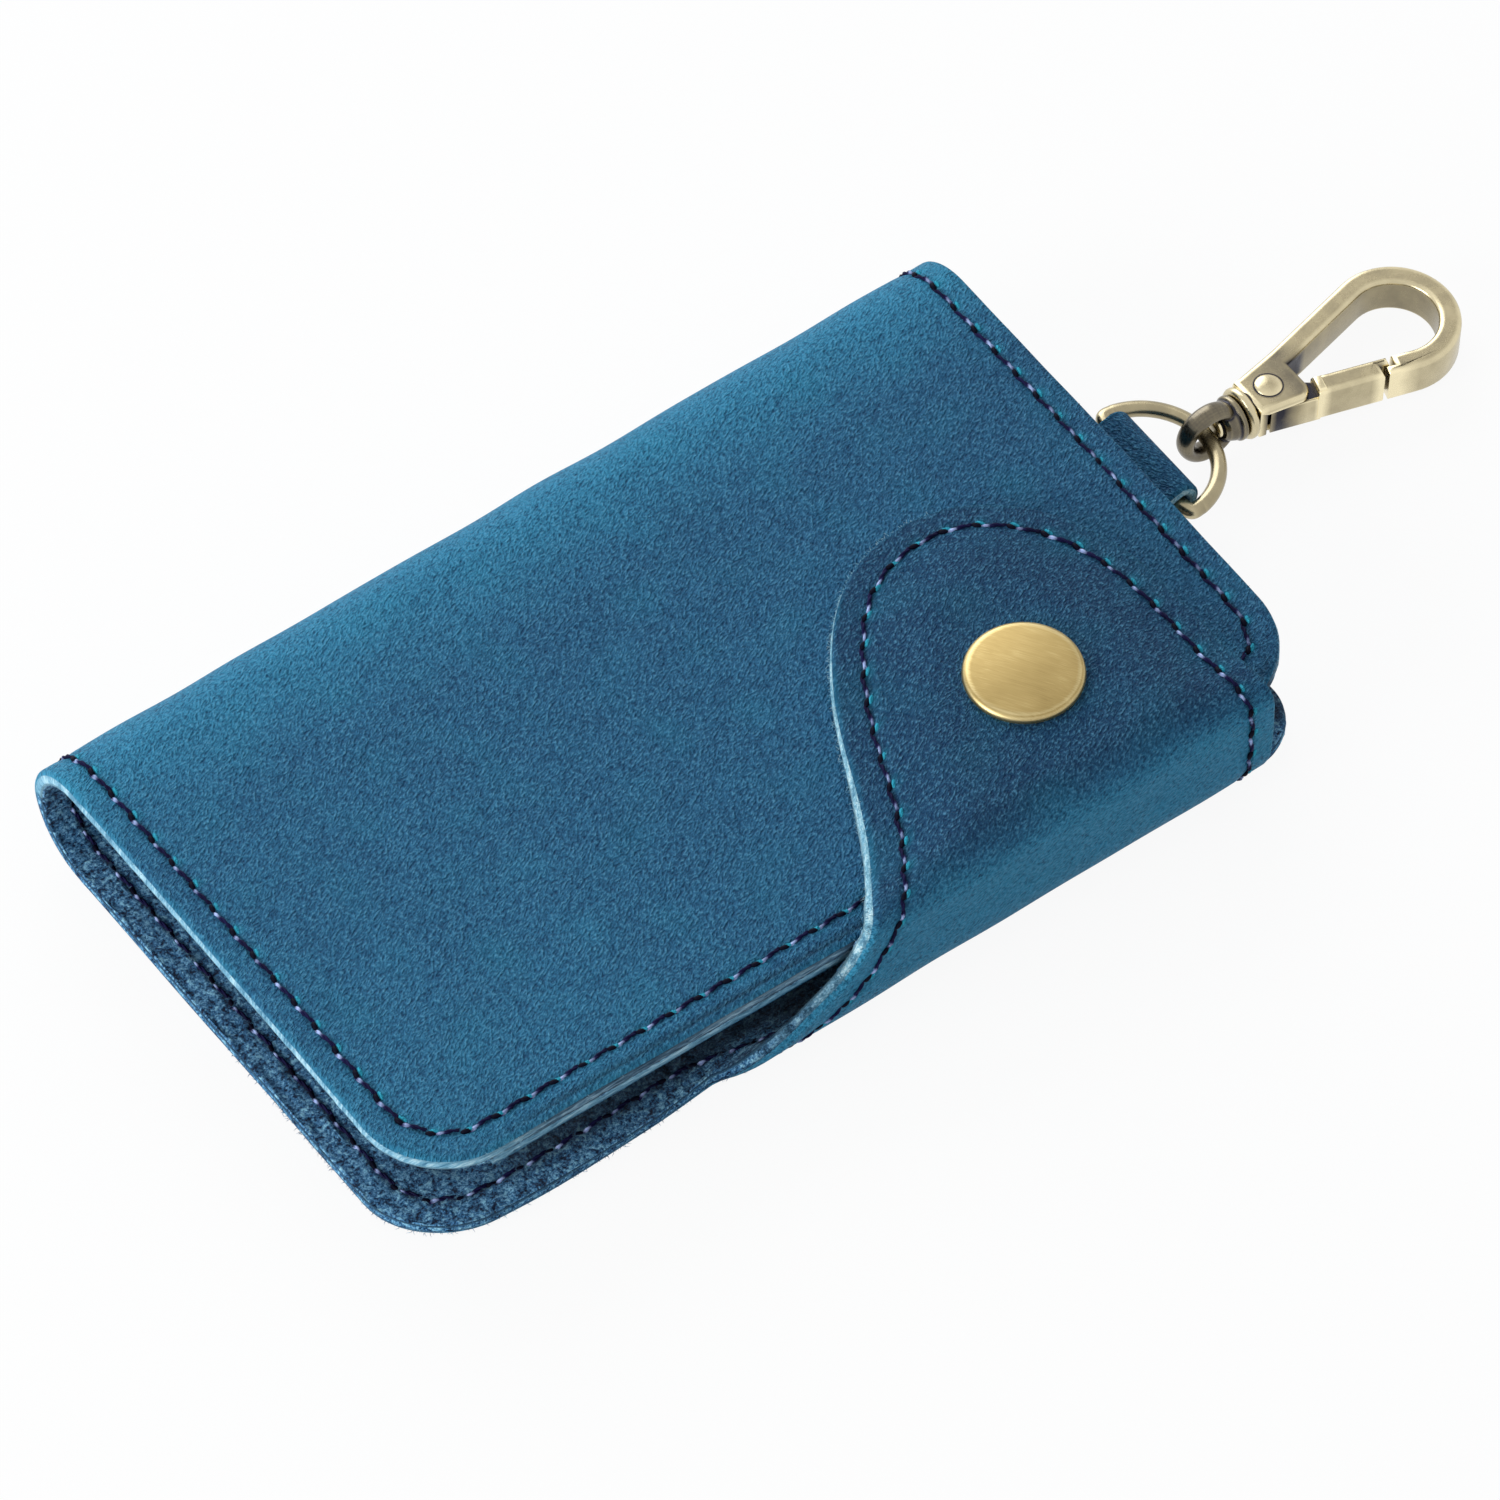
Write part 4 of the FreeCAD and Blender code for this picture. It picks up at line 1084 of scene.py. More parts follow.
@dataclass
class CoverShape:
    """Where each point of the flat cover lies once it is folded and the flap is closed."""

    half_length: float = 55.0
    half_width: float = 33.3
    leather: float = 1.8
    fold_radius: float = 7.4
    corner: float = 9.5
    back_near: float = 32.6
    back_corner: float = 6.0
    low_radius: float = 7.0
    high_radius: float = 5.0
    low_start: float = 28.55
    wall_length: float = 6.6
    flap_bottom: float = 16.8
    front_top: float = 14.8
    snap_x: float = 28.0
    snap_y: float = -20.4
    snap_hold: float = 110.0
    stitch_inset: float = 3.0
    sag_places: tuple[float, ...] = (-55.0, -45.0, -3.0, 20.0, 40.0, 55.0)
    sag_depths: tuple[float, ...] = (0.8, 0.9, 1.5, 1.5, 1.2, 0.8)
    sag_start: float = 10.0
    sag_run: float = 43.3
    sag_most: float = 1.1
    hug_width: float = 11.0
    hug_gap: float = 0.15
    hug_run: float = 4.0
    hug_step: int = 3
    lean_wide: float = 1.15
    lean_thin: float = 0.42
    lean_reach: float = 4.0
    lean_start: Pair = (46.0, 53.0)
    lean_change: Pair = (60.0, 69.0)
    lean_end: Pair = (78.0, 85.0)
    lip_left: Pair = (-27.0, -12.5)
    lip_right: Pair = (47.75, 48.0)
    lip_over: float = 0.6
    lip_end: Pair = (33.0, 38.0)
    wave_height: float = 0.35
    wave_length: float = 24.0
    wave_span: Pair = (25.0, 32.6)
    wave_seed: int = 21
    flap_left: Array = field(init=False)
    flap_right: Array = field(init=False)

    def __post_init__(self) -> None:
        """Draw the flap's outline on the flat leather."""
        self.flap_left = curve_through([
            (-19.0, 32.6), (-17.0, 34.0), (-14.6, 36.2), (-12.0, 38.4), (-9.0, 40.3), (-6.2, 41.9),
            (-3.9, 43.9), (-2.2, 46.5), (-0.3, 50.0), (1.8, 53.6), (4.5, 57.7), (6.7, 62.0), (9.3, 68.4),
            (12.2, 74.2), (15.6, 79.3), (18.8, 83.0), (22.3, 85.6), (26.5, 87.2), (30.9, 87.7),
        ])
        self.flap_right = curve_through([
            (47.7, 32.6), (48.0, 37.0), (48.2, 42.0), (48.2, 47.0), (47.9, 52.0), (47.7, 62.0), (47.5, 66.8),
            (46.9, 71.3), (45.5, 76.2), (43.2, 80.4), (39.8, 84.1), (35.5, 86.8), (30.9, 87.7),
        ])

    @property
    def fold_y(self) -> float:
        """Where the spine's bend starts."""
        return self.half_width - self.fold_radius

    @property
    def fold_arc(self) -> float:
        """Length of a quarter of the spine's bend."""
        return self.fold_radius * math.pi / 2

    @property
    def front_end(self) -> float:
        """Flat length from the spine's middle to the front's near edge."""
        return self.fold_arc + self.fold_y + self.half_width

    @property
    def back_middle(self) -> float:
        """Flat length from the spine's middle to the seam in the back."""
        return self.fold_arc + self.fold_y

    @property
    def wall_start(self) -> float:
        """Flat length from the back's seam to the flap's wall."""
        return self.low_start + self.low_radius * math.pi / 2

    @property
    def wall_seam(self) -> float:
        """Flat length from the back's seam to the seam in the flap's wall."""
        return self.wall_start + self.wall_length / 2

    @property
    def high_start(self) -> float:
        """Flat length from the back's seam to the flap's upper bend."""
        return self.wall_start + self.wall_length

    @property
    def top_start(self) -> float:
        """Flat length from the back's seam to the flap's flat top."""
        return self.high_start + self.high_radius * math.pi / 2

    def flap_limits(self, distance: Array | float) -> tuple[Array, Array]:
        """Return the flap's left and right limits at flat distances."""
        left, right = (np.interp(distance, *side.T[::-1]) for side in (self.flap_left, self.flap_right))
        return left, right

    def sag(self, x: Array, y: Array) -> Array:
        """Say how far the front sinks towards its near edge.

        Args:
            x: Places along the case.
            y: Places across it.

        Returns:
            One depth for each place.
        """
        depth = np.interp(x, self.sag_places, self.sag_depths)
        share = np.clip((self.sag_start - y) / self.sag_run, 0, self.sag_most)
        square = (x - self.snap_x) ** 2 + (y - self.snap_y) ** 2
        return depth * share**2 * (1 - np.exp(-square / self.snap_hold))

    def fold(self, u: Array, v: Array, depth: Array, up: float) -> Array:
        """Bend the cover round the spine.

        Args:
            u: Flat places along the spine.
            v: Flat places away from the spine's middle.
            depth: How deep below the grain face the points lie.
            up: 1 towards the front, -1 towards the back.

        Returns:
            The bent points.
        """
        angle = np.clip(v / self.fold_radius, 0, math.pi / 2)
        run = np.maximum(v - self.fold_arc, 0)
        out_y = np.cos(angle)
        out_z = up * np.sin(angle)
        y = self.fold_y + self.fold_radius * out_y - run - out_y * depth
        z = self.fold_radius * (1 + out_z) - out_z * depth
        return np.stack([u, y, z], 1)

    def front(self, u: Array, v: Array, depth: Array) -> Array:
        """Place points of the front.

        Args:
            u: Flat places along the spine.
            v: Flat places away from the spine's middle.
            depth: How deep below the grain face the points lie.

        Returns:
            The bent points.
        """
        points = self.fold(u, v, depth, 1.0)
        points[:, 2] -= self.sag(points[:, 0], points[:, 1])
        return points

    def back(self, u: Array, v: Array, depth: Array) -> Array:
        """Place a point of the back's far half."""
        return self.fold(u, v, depth, -1.0)

    def hug(self, u: Array, w: Array, y: Array) -> Array:
        """Say how far the flap drops onto the front near its edges.

        Args:
            u: Flat places along the flap.
            w: Flat places away from the back's seam.
            y: Where the flap lies across the case.

        Returns:
            One drop for each place.
        """
        points = np.stack([u, w], 1)
        sides = (self.flap_left, self.flap_right)
        edge = np.minimum(*[distance_to_line(points, side[::self.hug_step]) for side in sides])
        near = 1 - smooth_step(0, self.hug_width, edge)
        fade = smooth_step(self.high_start, self.top_start + self.hug_run, w)
        room = self.flap_bottom - self.front_top - self.hug_gap + self.sag(u, y)
        return near * fade * room

    def lean(self, u: Array, w: Array) -> Array:
        """Say how far the flesh side stands out at the flap's slanted cut.

        Args:
            u: Flat places along the flap.
            w: Flat places away from the back's seam.

        Returns:
            One distance for each place.
        """
        change = smooth_step(*self.lean_change, w)
        wide = smooth_step(*self.lean_start, w) * (1 - change)
        thin = change * (1 - smooth_step(*self.lean_end, w))
        gap = u - self.flap_limits(w)[0]
        return (self.lean_wide * wide + self.lean_thin * thin) * (1 - smooth_step(0, self.lean_reach, gap))

    def flap(self, u: Array, w: Array, depth: Array) -> Array:
        """Place points of the back's near half or of the flap.

        Args:
            u: Flat places along the flap.
            w: Flat places away from the back's seam.
            depth: How deep below the grain face the points lie.

        Returns:
            The bent points.
        """
        low = np.clip((w - self.low_start) / self.low_radius, 0, math.pi / 2)
        wall = np.clip(w - self.wall_start, 0, self.wall_length)
        high = np.clip((w - self.high_start) / self.high_radius, 0, math.pi / 2)
        top = np.maximum(w - self.top_start, 0)
        turn = low + high
        y = -np.minimum(w, self.low_start) - self.low_radius * np.sin(low)
        y = y + self.high_radius * (1 - np.cos(high)) + top
        z = self.low_radius * (1 - np.cos(low)) + wall + self.high_radius * np.sin(high)
        drop = self.hug(u, w, y)
        y = y + np.sin(turn) * depth
        z = z + np.cos(turn) * depth - drop
        lip = 1 - smooth_step(*self.lip_left, u)
        lip = lip + smooth_step(*self.lip_right, u) * (w < self.back_near + self.lip_over)
        lip = lip * (1 - smooth_step(*self.lip_end, w))
        wavy = self.wave_height * ripple(u, 0 * u, self.wave_length, self.wave_seed)
        y = y + (wavy * smooth_step(*self.wave_span, w) - w - y) * lip
        z = z + (depth - z) * lip
        return np.stack([u - self.lean(u, w) * depth / self.leather, y, z], 1)


@dataclass
class CoverTones:
    """How light, dull and dark each place of the flat cover is: partly pull-up lightening at the bends,
    partly painted light and shade.
    """

    shape: CoverShape
    fold: float = 1.02
    fold_end: Pair = (6.0, 24.0)
    front_drop: float = 0.5
    painted_light_tilt: float = 0.0012
    back_drop: float = 0.52
    painted_corner_light: float = 0.1
    corner_across: Pair = (-45.0, 5.0)
    corner_along: Pair = (38.0, 66.0)
    painted_right_shade: float = 0.06
    right_across: Pair = (22.0, 52.0)
    right_along: Pair = (12.0, 36.0)
    flap_tone: float = 0.5
    bend_gain: float = 0.6
    bend_start: Pair = (24.0, 37.0)
    bend_drop: float = 0.93
    bend_end: Pair = (45.0, 53.0)
    dull: float = 0.85
    dull_across: Pair = (-50.0, -36.0)
    dull_rim: Pair = (-4.0, -1.0)
    # Painted shadow on the back's nap under the front's near edge.
    painted_shut_shadow: float = 0.8
    shut_across: Pair = (-48.0, -37.0)
    shut_rim: Pair = (-3.2, -1.0)
    pale_along: Pair = (34.5, 47.0)
    pale_across: float = 40.0
    pale_wave: float = 1.5
    wave_length: float = 3.0
    wave_seed: int = 33

    def front(self, u: Array, v: Array) -> Array:
        """Say how light the front is: lighter at the fold and the open corner and darker to the right, as
        painted light and shade, with some pull-up lightening at the fold.

        Args:
            u: Flat places along the spine.
            v: Flat places away from the spine's middle.

        Returns:
            One tone for each place.
        """
        away = smooth_step(*self.fold_end, v)
        corner = smooth_step(*self.corner_along, v) * (1 - smooth_step(*self.corner_across, u))
        right = smooth_step(*self.right_across, u) * smooth_step(*self.right_along, v)
        plain = self.fold - (self.front_drop + self.painted_light_tilt * u) * away
        return plain + self.painted_corner_light * corner - self.painted_right_shade * right

    def back(self, u: Array, v: Array) -> Array:
        """Return how light the back's far half is: lighter at the fold, partly pull-up and partly painted
        light.
        """
        return self.fold - self.back_drop * smooth_step(*self.fold_end, v)

    def flap(self, u: Array, w: Array) -> Array:
        """Return how light the back's near half and the flap are: lighter at the flap's bend and darker on
        its top, partly pull-up and partly painted light and shade.
        """
        risen = self.flap_tone + self.bend_gain * smooth_step(*self.bend_start, w)
        return risen - self.bend_drop * smooth_step(*self.bend_end, w)

    def front_fade(self, u: Array, v: Array) -> Array:
        """Return how dull the front's cut edge is: dull where the pocket lies under it."""
        rim = smooth_step(*self.dull_rim, v - self.shape.front_end)
        return self.dull * smooth_step(*self.dull_across, u) * rim

    def back_painted_shadow(self, u: Array, w: Array) -> Array:
        """Return the painted shadow on the back's nap along its near edge, under the front, away from the
        open corner.
        """
        inside = 1 - smooth_step(*self.shut_rim, w - self.shape.back_near)
        return self.painted_shut_shadow * smooth_step(*self.shut_across, u) * inside

    def back_fade(self, u: Array, w: Array) -> Array:
        """Return how napped the back's cut edge is: pale only up the flap."""
        wave = self.pale_wave * ripple(u, w, self.wave_length, self.wave_seed)
        return 1 - smooth_step(*self.pale_along, w + wave) * (u < self.pale_across)


@dataclass
class FlatMesh:
    """A piece of leather laid flat, as points and quads."""

    points: Array
    quads: Array

    @staticmethod
    def grid(rows: Sequence[Array], along: Array) -> "FlatMesh":
        """Make a grid.

        Args:
            rows: The places across, for each row.
            along: The distance of each row.

        Returns:
            The piece.
        """
        across = np.stack(rows)
        points = np.stack([across.ravel(), np.repeat(along, across.shape[1])], 1)
        index = np.arange(len(points)).reshape(across.shape)
        quads = np.stack([index[:-1, :-1], index[:-1, 1:], index[1:, 1:], index[1:, :-1]], -1)
        return FlatMesh(points, quads.reshape(-1, 4))

    def without(self, drop: Array) -> "FlatMesh":
        """Leave out some quads and the points that nothing uses."""
        used, inverse = np.unique(self.quads[~drop], return_inverse=True)
        return FlatMesh(self.points[used], inverse.reshape(-1, 4))

    def joined(self, other: "FlatMesh", decimals: int = 5) -> "FlatMesh":
        """Join another piece where their points meet.

        Args:
            other: The other piece.
            decimals: How closely points have to agree.

        Returns:
            Both as one piece.
        """
        points = np.vstack([self.points, other.points])
        quads = np.vstack([self.quads, other.quads + len(self.points)])
        keys = np.round(points, decimals)
        _, first, inverse = np.unique(keys, axis=0, return_index=True, return_inverse=True)
        return FlatMesh(points[first], inverse.reshape(-1)[quads])

    def rim(self) -> Array:
        """Find the edges that only one quad has.

        Returns:
            The edges, as pairs of points.
        """
        edges = np.vstack([self.quads[:, [corner, (corner + 1) % 4]] for corner in range(4)])
        keys = np.sort(edges, axis=1)
        _, inverse, counts = np.unique(keys, axis=0, return_inverse=True, return_counts=True)
        return edges[counts[inverse.reshape(-1)] == 1]


@dataclass
class StrandSet:
    """Many thin round strands that become one mesh."""

    paths: list[Array] = field(default_factory=list)
    sizes: list[Array] = field(default_factory=list)
    tones: list[Array] = field(default_factory=list)
    kinds: list[Array] = field(default_factory=list)
    steep: float = 0.9
    pull: float = 0.85
    shade: float = 0.8

    def add(self, path: Array, size: Array, tone: Array | float = 0.0, kind: int = 0) -> None:
        """Add strands.

        Args:
            path: Points of each strand: strand, place along it, three numbers.
            size: The radius at each place along a strand.
            tone: How light the strands are.
            kind: The number of their material.
        """
        self.paths.append(path)
        self.sizes.append(np.broadcast_to(size, path.shape[:2]))
        self.tones.append(np.broadcast_to(tone, path.shape[:2]))
        self.kinds.append(np.full(len(path), kind))

    def build(self, name: str, sides: int, materials: Sequence[Material]) -> Piece:
        """Make the mesh.

        Args:
            name: The piece's name.
            sides: How many sides a strand has.
            materials: The strands' materials.

        Returns:
            The piece, with the tones kept on it.
        """
        path = np.vstack(self.paths)
        number, places, _ = path.shape
        run = unit(np.gradient(path, axis=1))
        helper = np.where(np.abs(run[..., 2:]) > self.steep, (1.0, 0.0, 0.0), (0.0, 0.0, 1.0))
        first = unit(np.cross(run, helper))
        second = np.cross(run, first)
        angles = np.linspace(0, 2 * math.pi, sides, endpoint=False)[:, None]
        size = np.vstack(self.sizes)[:, :, None, None]
        ring = path[:, :, None] + size * np.cos(angles) * first[:, :, None]
        ring = (ring + size * np.sin(angles) * second[:, :, None]).reshape(-1, 3)
        index = np.arange(len(ring)).reshape(number, places, sides)
        ends = [*index[:, 0, ::-1].tolist(), *index[:, -1].tolist()]
        item = new_object(name, ring, [*ring_quads(index).tolist(), *ends])
        mesh = item.data
        store(mesh, "tone", np.repeat(np.vstack(self.tones).ravel(), sides))
        store(mesh, "pull", np.full(len(ring), self.pull))
        store(mesh, "shade", np.full(len(ring), self.shade))
        kinds = np.concatenate(self.kinds)
        dress(item, materials, np.concatenate([np.repeat(kinds, (places - 1) * sides), kinds, kinds]))
        outward(mesh)
        store_uv(mesh, ring[:, :2])
        return item


@dataclass
class LeatherSheet:
    """A cut piece of leather with its thickness, rounded edges and stitch holes."""

    name: str
    flat: FlatMesh
    place: Place
    thickness: float
    seams: tuple[float, ...] = ()
    lines: tuple[Array, ...] = ()
    pitch: float = 3.5
    edge: float = 0.5
    seed: int = 1
    waves: float = 0.07
    wave_length: float = 14.0
    calm_run: float = 3.0
    mirror: float = 1.0
    wall_steps: int = 4
    sharp: float = 50.0
    swell: float = 0.1
    ragged: float = 0.035
    nap: float = 0.06
    nap_length: float = 1.6
    nap_grit: float = 0.8
    nap_edge: float = -0.12
    flesh_shift: float = 200.0
    inside: float = 0.8
    # Painted shade on the flesh side, growing away from the cut edge.
    inside_shade_start: Pair = (3.5, 9.0)
    crease: float = 0.0
    crease_inset: float = 0.9
    crease_depth: float = 0.12
    crease_line: Mark = Mark(1.0, 0.28)
    groove: Mark = Mark(0.14, 0.6)
    pit: Mark = Mark(0.16, 0.45)
    # Painted shade along each stitch line.
    slit_painted_shade: Mark = Mark(0.5, 0.3)
    sewn_dark: Mark = Mark(0.8, 0.35)
    edge_pull: Mark = Mark(0.1, 0.4)
    slit_pull_and_painted_highlight: Mark = Mark(0.3, 0.6)
    slit_shift: Pair = (0.5, 0.0)
    uneven_pull: float = 0.04
    uneven_length: float = 9.0
    fibre_shares: tuple[float, ...] = (-0.2, 0.35, 0.7, 1.0)
    fibre_radii: tuple[float, ...] = (0.035, 0.03, 0.02, 0.006)
    fibre_sides: int = 3
    fibre_short: float = 0.15
    fibre_bias: float = 2.2
    fibre_lean: float = 0.7
    fibre_lift: float = 0.35
    fibre_rim: Pair = (0.3, 0.1)
    edge_face: Face = Face.CUT
    shade: Level = everywhere(0.5)
    fade: Level = everywhere(0.0)
    # Painted shadow on the flesh side where the case is shut.
    painted_shut_shadow: Level = everywhere(0.0)

    def is_seam(self, edges: Array) -> Array:
        """Say which rim edges lie on a seam with the next piece.

        Args:
            edges: The rim's edges.

        Returns:
            True for each edge on a seam.
        """
        along = self.flat.points[edges][:, :, 1]
        result = np.zeros(len(edges), bool)
        for seam in self.seams:
            result |= np.all(np.abs(along - seam) < 1e-4, axis=1)
        return result

    def cut_edges(self) -> Array:
        """Return the rim edges that were cut."""
        edges = self.flat.rim()
        return edges[~self.is_seam(edges)]

    def rim_normals(self, edges: Array) -> Array:
        """Find which way is out.

        Args:
            edges: The rim's edges.

        Returns:
            The flat outward direction at each point of the rim.
        """
        points = self.flat.points
        out = right_of(points[edges[:, 1]] - points[edges[:, 0]])
        normals = np.zeros_like(points)
        for end in range(2):
            np.add.at(normals, edges[:, end], out)
        return unit(normals)

    def surface(self, gap: Array) -> tuple[Array, Array, Array]:
        """Shape the grain face.

        Args:
            gap: How far each point is from the cut edge.

        Returns:
            The depth of each point, how much it is pulled, and how dark it is: painted shade along the stitch
            lines, and the creases.
        """
        points = self.flat.points
        u, v = points.T
        near = np.clip(self.edge - gap, 0, self.edge)
        depth = self.edge - np.sqrt(self.edge**2 - near**2)
        pull = self.edge_pull.at(gap) + self.uneven_pull * ripple(u, v, self.uneven_length, self.seed + 5)
        painted_shade_and_crease = np.zeros(len(points))
        for line in self.lines:
            beside = distance_to_line(points, line)
            holes = even_points(line, self.pitch)
            stretched = holes + np.array(self.slit_shift)
            depth += self.groove.at(beside)
            depth += self.pit.at(distance_to(points, holes, holes))
            # Lighter to one side of each hole: partly stretched leather, partly a painted highlight.
            pull += self.slit_pull_and_painted_highlight.at(distance_to(points, stretched, stretched))
            painted_shade_and_crease = np.maximum(painted_shade_and_crease, self.slit_painted_shade.at(beside))
        crease = self.crease * self.fade(u, v) * self.crease_line.at(gap - self.crease_inset)
        depth += self.crease_depth * crease
        calm = np.ones(len(points))
        for seam in self.seams:
            calm *= smooth_step(0, self.calm_run, np.abs(v - seam))
        depth += self.waves * ripple(u, v, self.wave_length, self.seed) * calm
        return depth, np.clip(pull, 0, 1), np.maximum(painted_shade_and_crease, crease)

    def flesh_painted_shade(self, gap: Array) -> Array:
        """Say how dark the flesh side is: painted shade away from the cut edge and under the front's near
        edge, and darker along the stitch lines.

        Args:
            gap: How far each point is from the cut edge.

        Returns:
            One number for each point.
        """
        points = self.flat.points
        sewn = [self.sewn_dark.at(distance_to_line(points, line)) for line in self.lines]
        inside = self.inside * smooth_step(*self.inside_shade_start, gap)
        return np.max([inside, self.painted_shut_shadow(*points.T), *sewn], axis=0)

    def faces(self, edges: Array, rim: Array) -> tuple[Array, Array]:
        """Number the closed mesh.

        Args:
            edges: The rim's edges.
            rim: The rim's points.

        Returns:
            The vertex numbers of each face, and its kind.
        """
        count = len(self.flat.points)
        between = np.zeros((self.wall_steps - 1, count), int)
        between[:, rim] = 2 * count + np.arange(len(between) * len(rim)).reshape(-1, len(rim))
        rings = np.vstack([np.arange(count), between, np.arange(count) + count])
        upper, lower = rings[:-1, edges], rings[1:, edges]
        walls = np.stack([upper[..., 0], upper[..., 1], lower[..., 1], lower[..., 0]], -1).reshape(-1, 4)
        quads = self.flat.quads
        kinds = [Face.GRAIN.value, Face.FLESH.value, self.edge_face.value]
        numbers = np.vstack([quads, quads[:, ::-1] + count, walls])
        return numbers, np.repeat(kinds, [len(quads), len(quads), len(walls)])

    def build(self, materials: Sequence[Material]) -> Piece:
        """Make the closed mesh.

        Args:
            materials: The materials, in the order of Face.

        Returns:
            The piece, with its flat places as UVs.
        """
        points = self.flat.points
        u, v = points.T
        count = len(points)
        edges = self.flat.rim()
        cut = self.cut_edges()
        gap = distance_to(points, points[cut[:, 0]], points[cut[:, 1]])
        depth, pull, painted_shade_and_crease = self.surface(gap)
        on_cut = np.isin(np.arange(count), cut)
        random = np.random.default_rng(self.seed)
        nap = ripple(u, v, self.nap_length, self.seed + 1) + self.nap_grit * random.normal(size=count)
        bottom = self.thickness + np.where(on_cut, self.nap_edge, self.nap * nap)
        layers = [self.place(u, v, depth), self.place(u, v, bottom)]
        places = [points, points + np.array([0.0, self.flesh_shift])]
        rim = np.unique(edges)
        out = self.rim_normals(edges)[rim]
        shares = np.arange(1, self.wall_steps) / self.wall_steps
        for share in shares:
            level = depth[rim] * (1 - share) + bottom[rim] * share
            swell = self.swell * math.sin(math.pi * share) + self.ragged * random.normal(size=len(rim))
            moved = points[rim] + out * (swell * on_cut[rim])[:, None]
            layers.append(self.place(moved[:, 0], moved[:, 1], level))
            places.append(points[rim] + out * level[:, None])
        faces, kinds = self.faces(edges, rim)
        item = new_object(self.name, np.vstack(layers), faces)
        dress(item, materials, kinds)
        mesh = item.data
        wall = np.zeros(len(shares) * len(rim))
        store(mesh, "pull", np.concatenate([pull, np.zeros(count), wall]))
        store(mesh, "painted_shade_and_crease", np.concatenate([painted_shade_and_crease, self.flesh_painted_shade(gap), wall]))
        store(mesh, "level", np.concatenate([np.zeros(count), np.ones(count), np.repeat(shares, len(rim))]))
        flat = np.vstack([points, points, *[points[rim]] * len(shares)])
        store(mesh, "fade", self.fade(*flat.T))
        shown = np.vstack(places)
        store(mesh, "shade", self.shade(*shown.T))
        store_uv(mesh, shown * np.array([1.0, self.mirror]))
        outward(mesh)
        sharpen(item, self.sharp)
        return item

    def fibres(self, count: int, length: float, material: Material, keep: Choice) -> Piece:
        """Make loose fibres along the cut edge.

        Args:
            count: How many fibres there are.
            length: The longest fibre.
            material: The fibres' material.
            keep: Says which rim places have fibres.

        Returns:
            All the fibres as one mesh.
        """
        points = self.flat.points
        edges = self.cut_edges()
        edges = edges[keep(points[edges].mean(axis=1))]
        runs = points[edges[:, 1]] - points[edges[:, 0]]
        sizes = np.linalg.norm(runs, axis=1)
        random = np.random.default_rng(self.seed + 40)
        chosen = random.choice(len(edges), count, p=sizes / sizes.sum())
        base = points[edges[chosen, 0]] + runs[chosen] * random.uniform(0, 1, (count, 1))
        tangent = unit(runs[chosen])
        out = right_of(tangent)
        top, foot = self.fibre_rim
        level = random.uniform(top, self.thickness - foot, count)
        reach = length * random.uniform(self.fibre_short, 1, count) ** self.fibre_bias
        lean = random.normal(0, self.fibre_lean, count)
        lift = random.normal(0, self.fibre_lift, count)
        centres = []
        for share in self.fibre_shares:
            bend = share * share
            spot = base + out * (reach * share)[:, None] + tangent * (reach * lean * bend)[:, None]
            centres.append(self.place(spot[:, 0], spot[:, 1], level + lift * reach * bend))
        loose = StrandSet()
        loose.add(np.stack(centres, 1), np.array(self.fibre_radii))
        return loose.build(f"{self.name}_fibres", self.fibre_sides, [material])


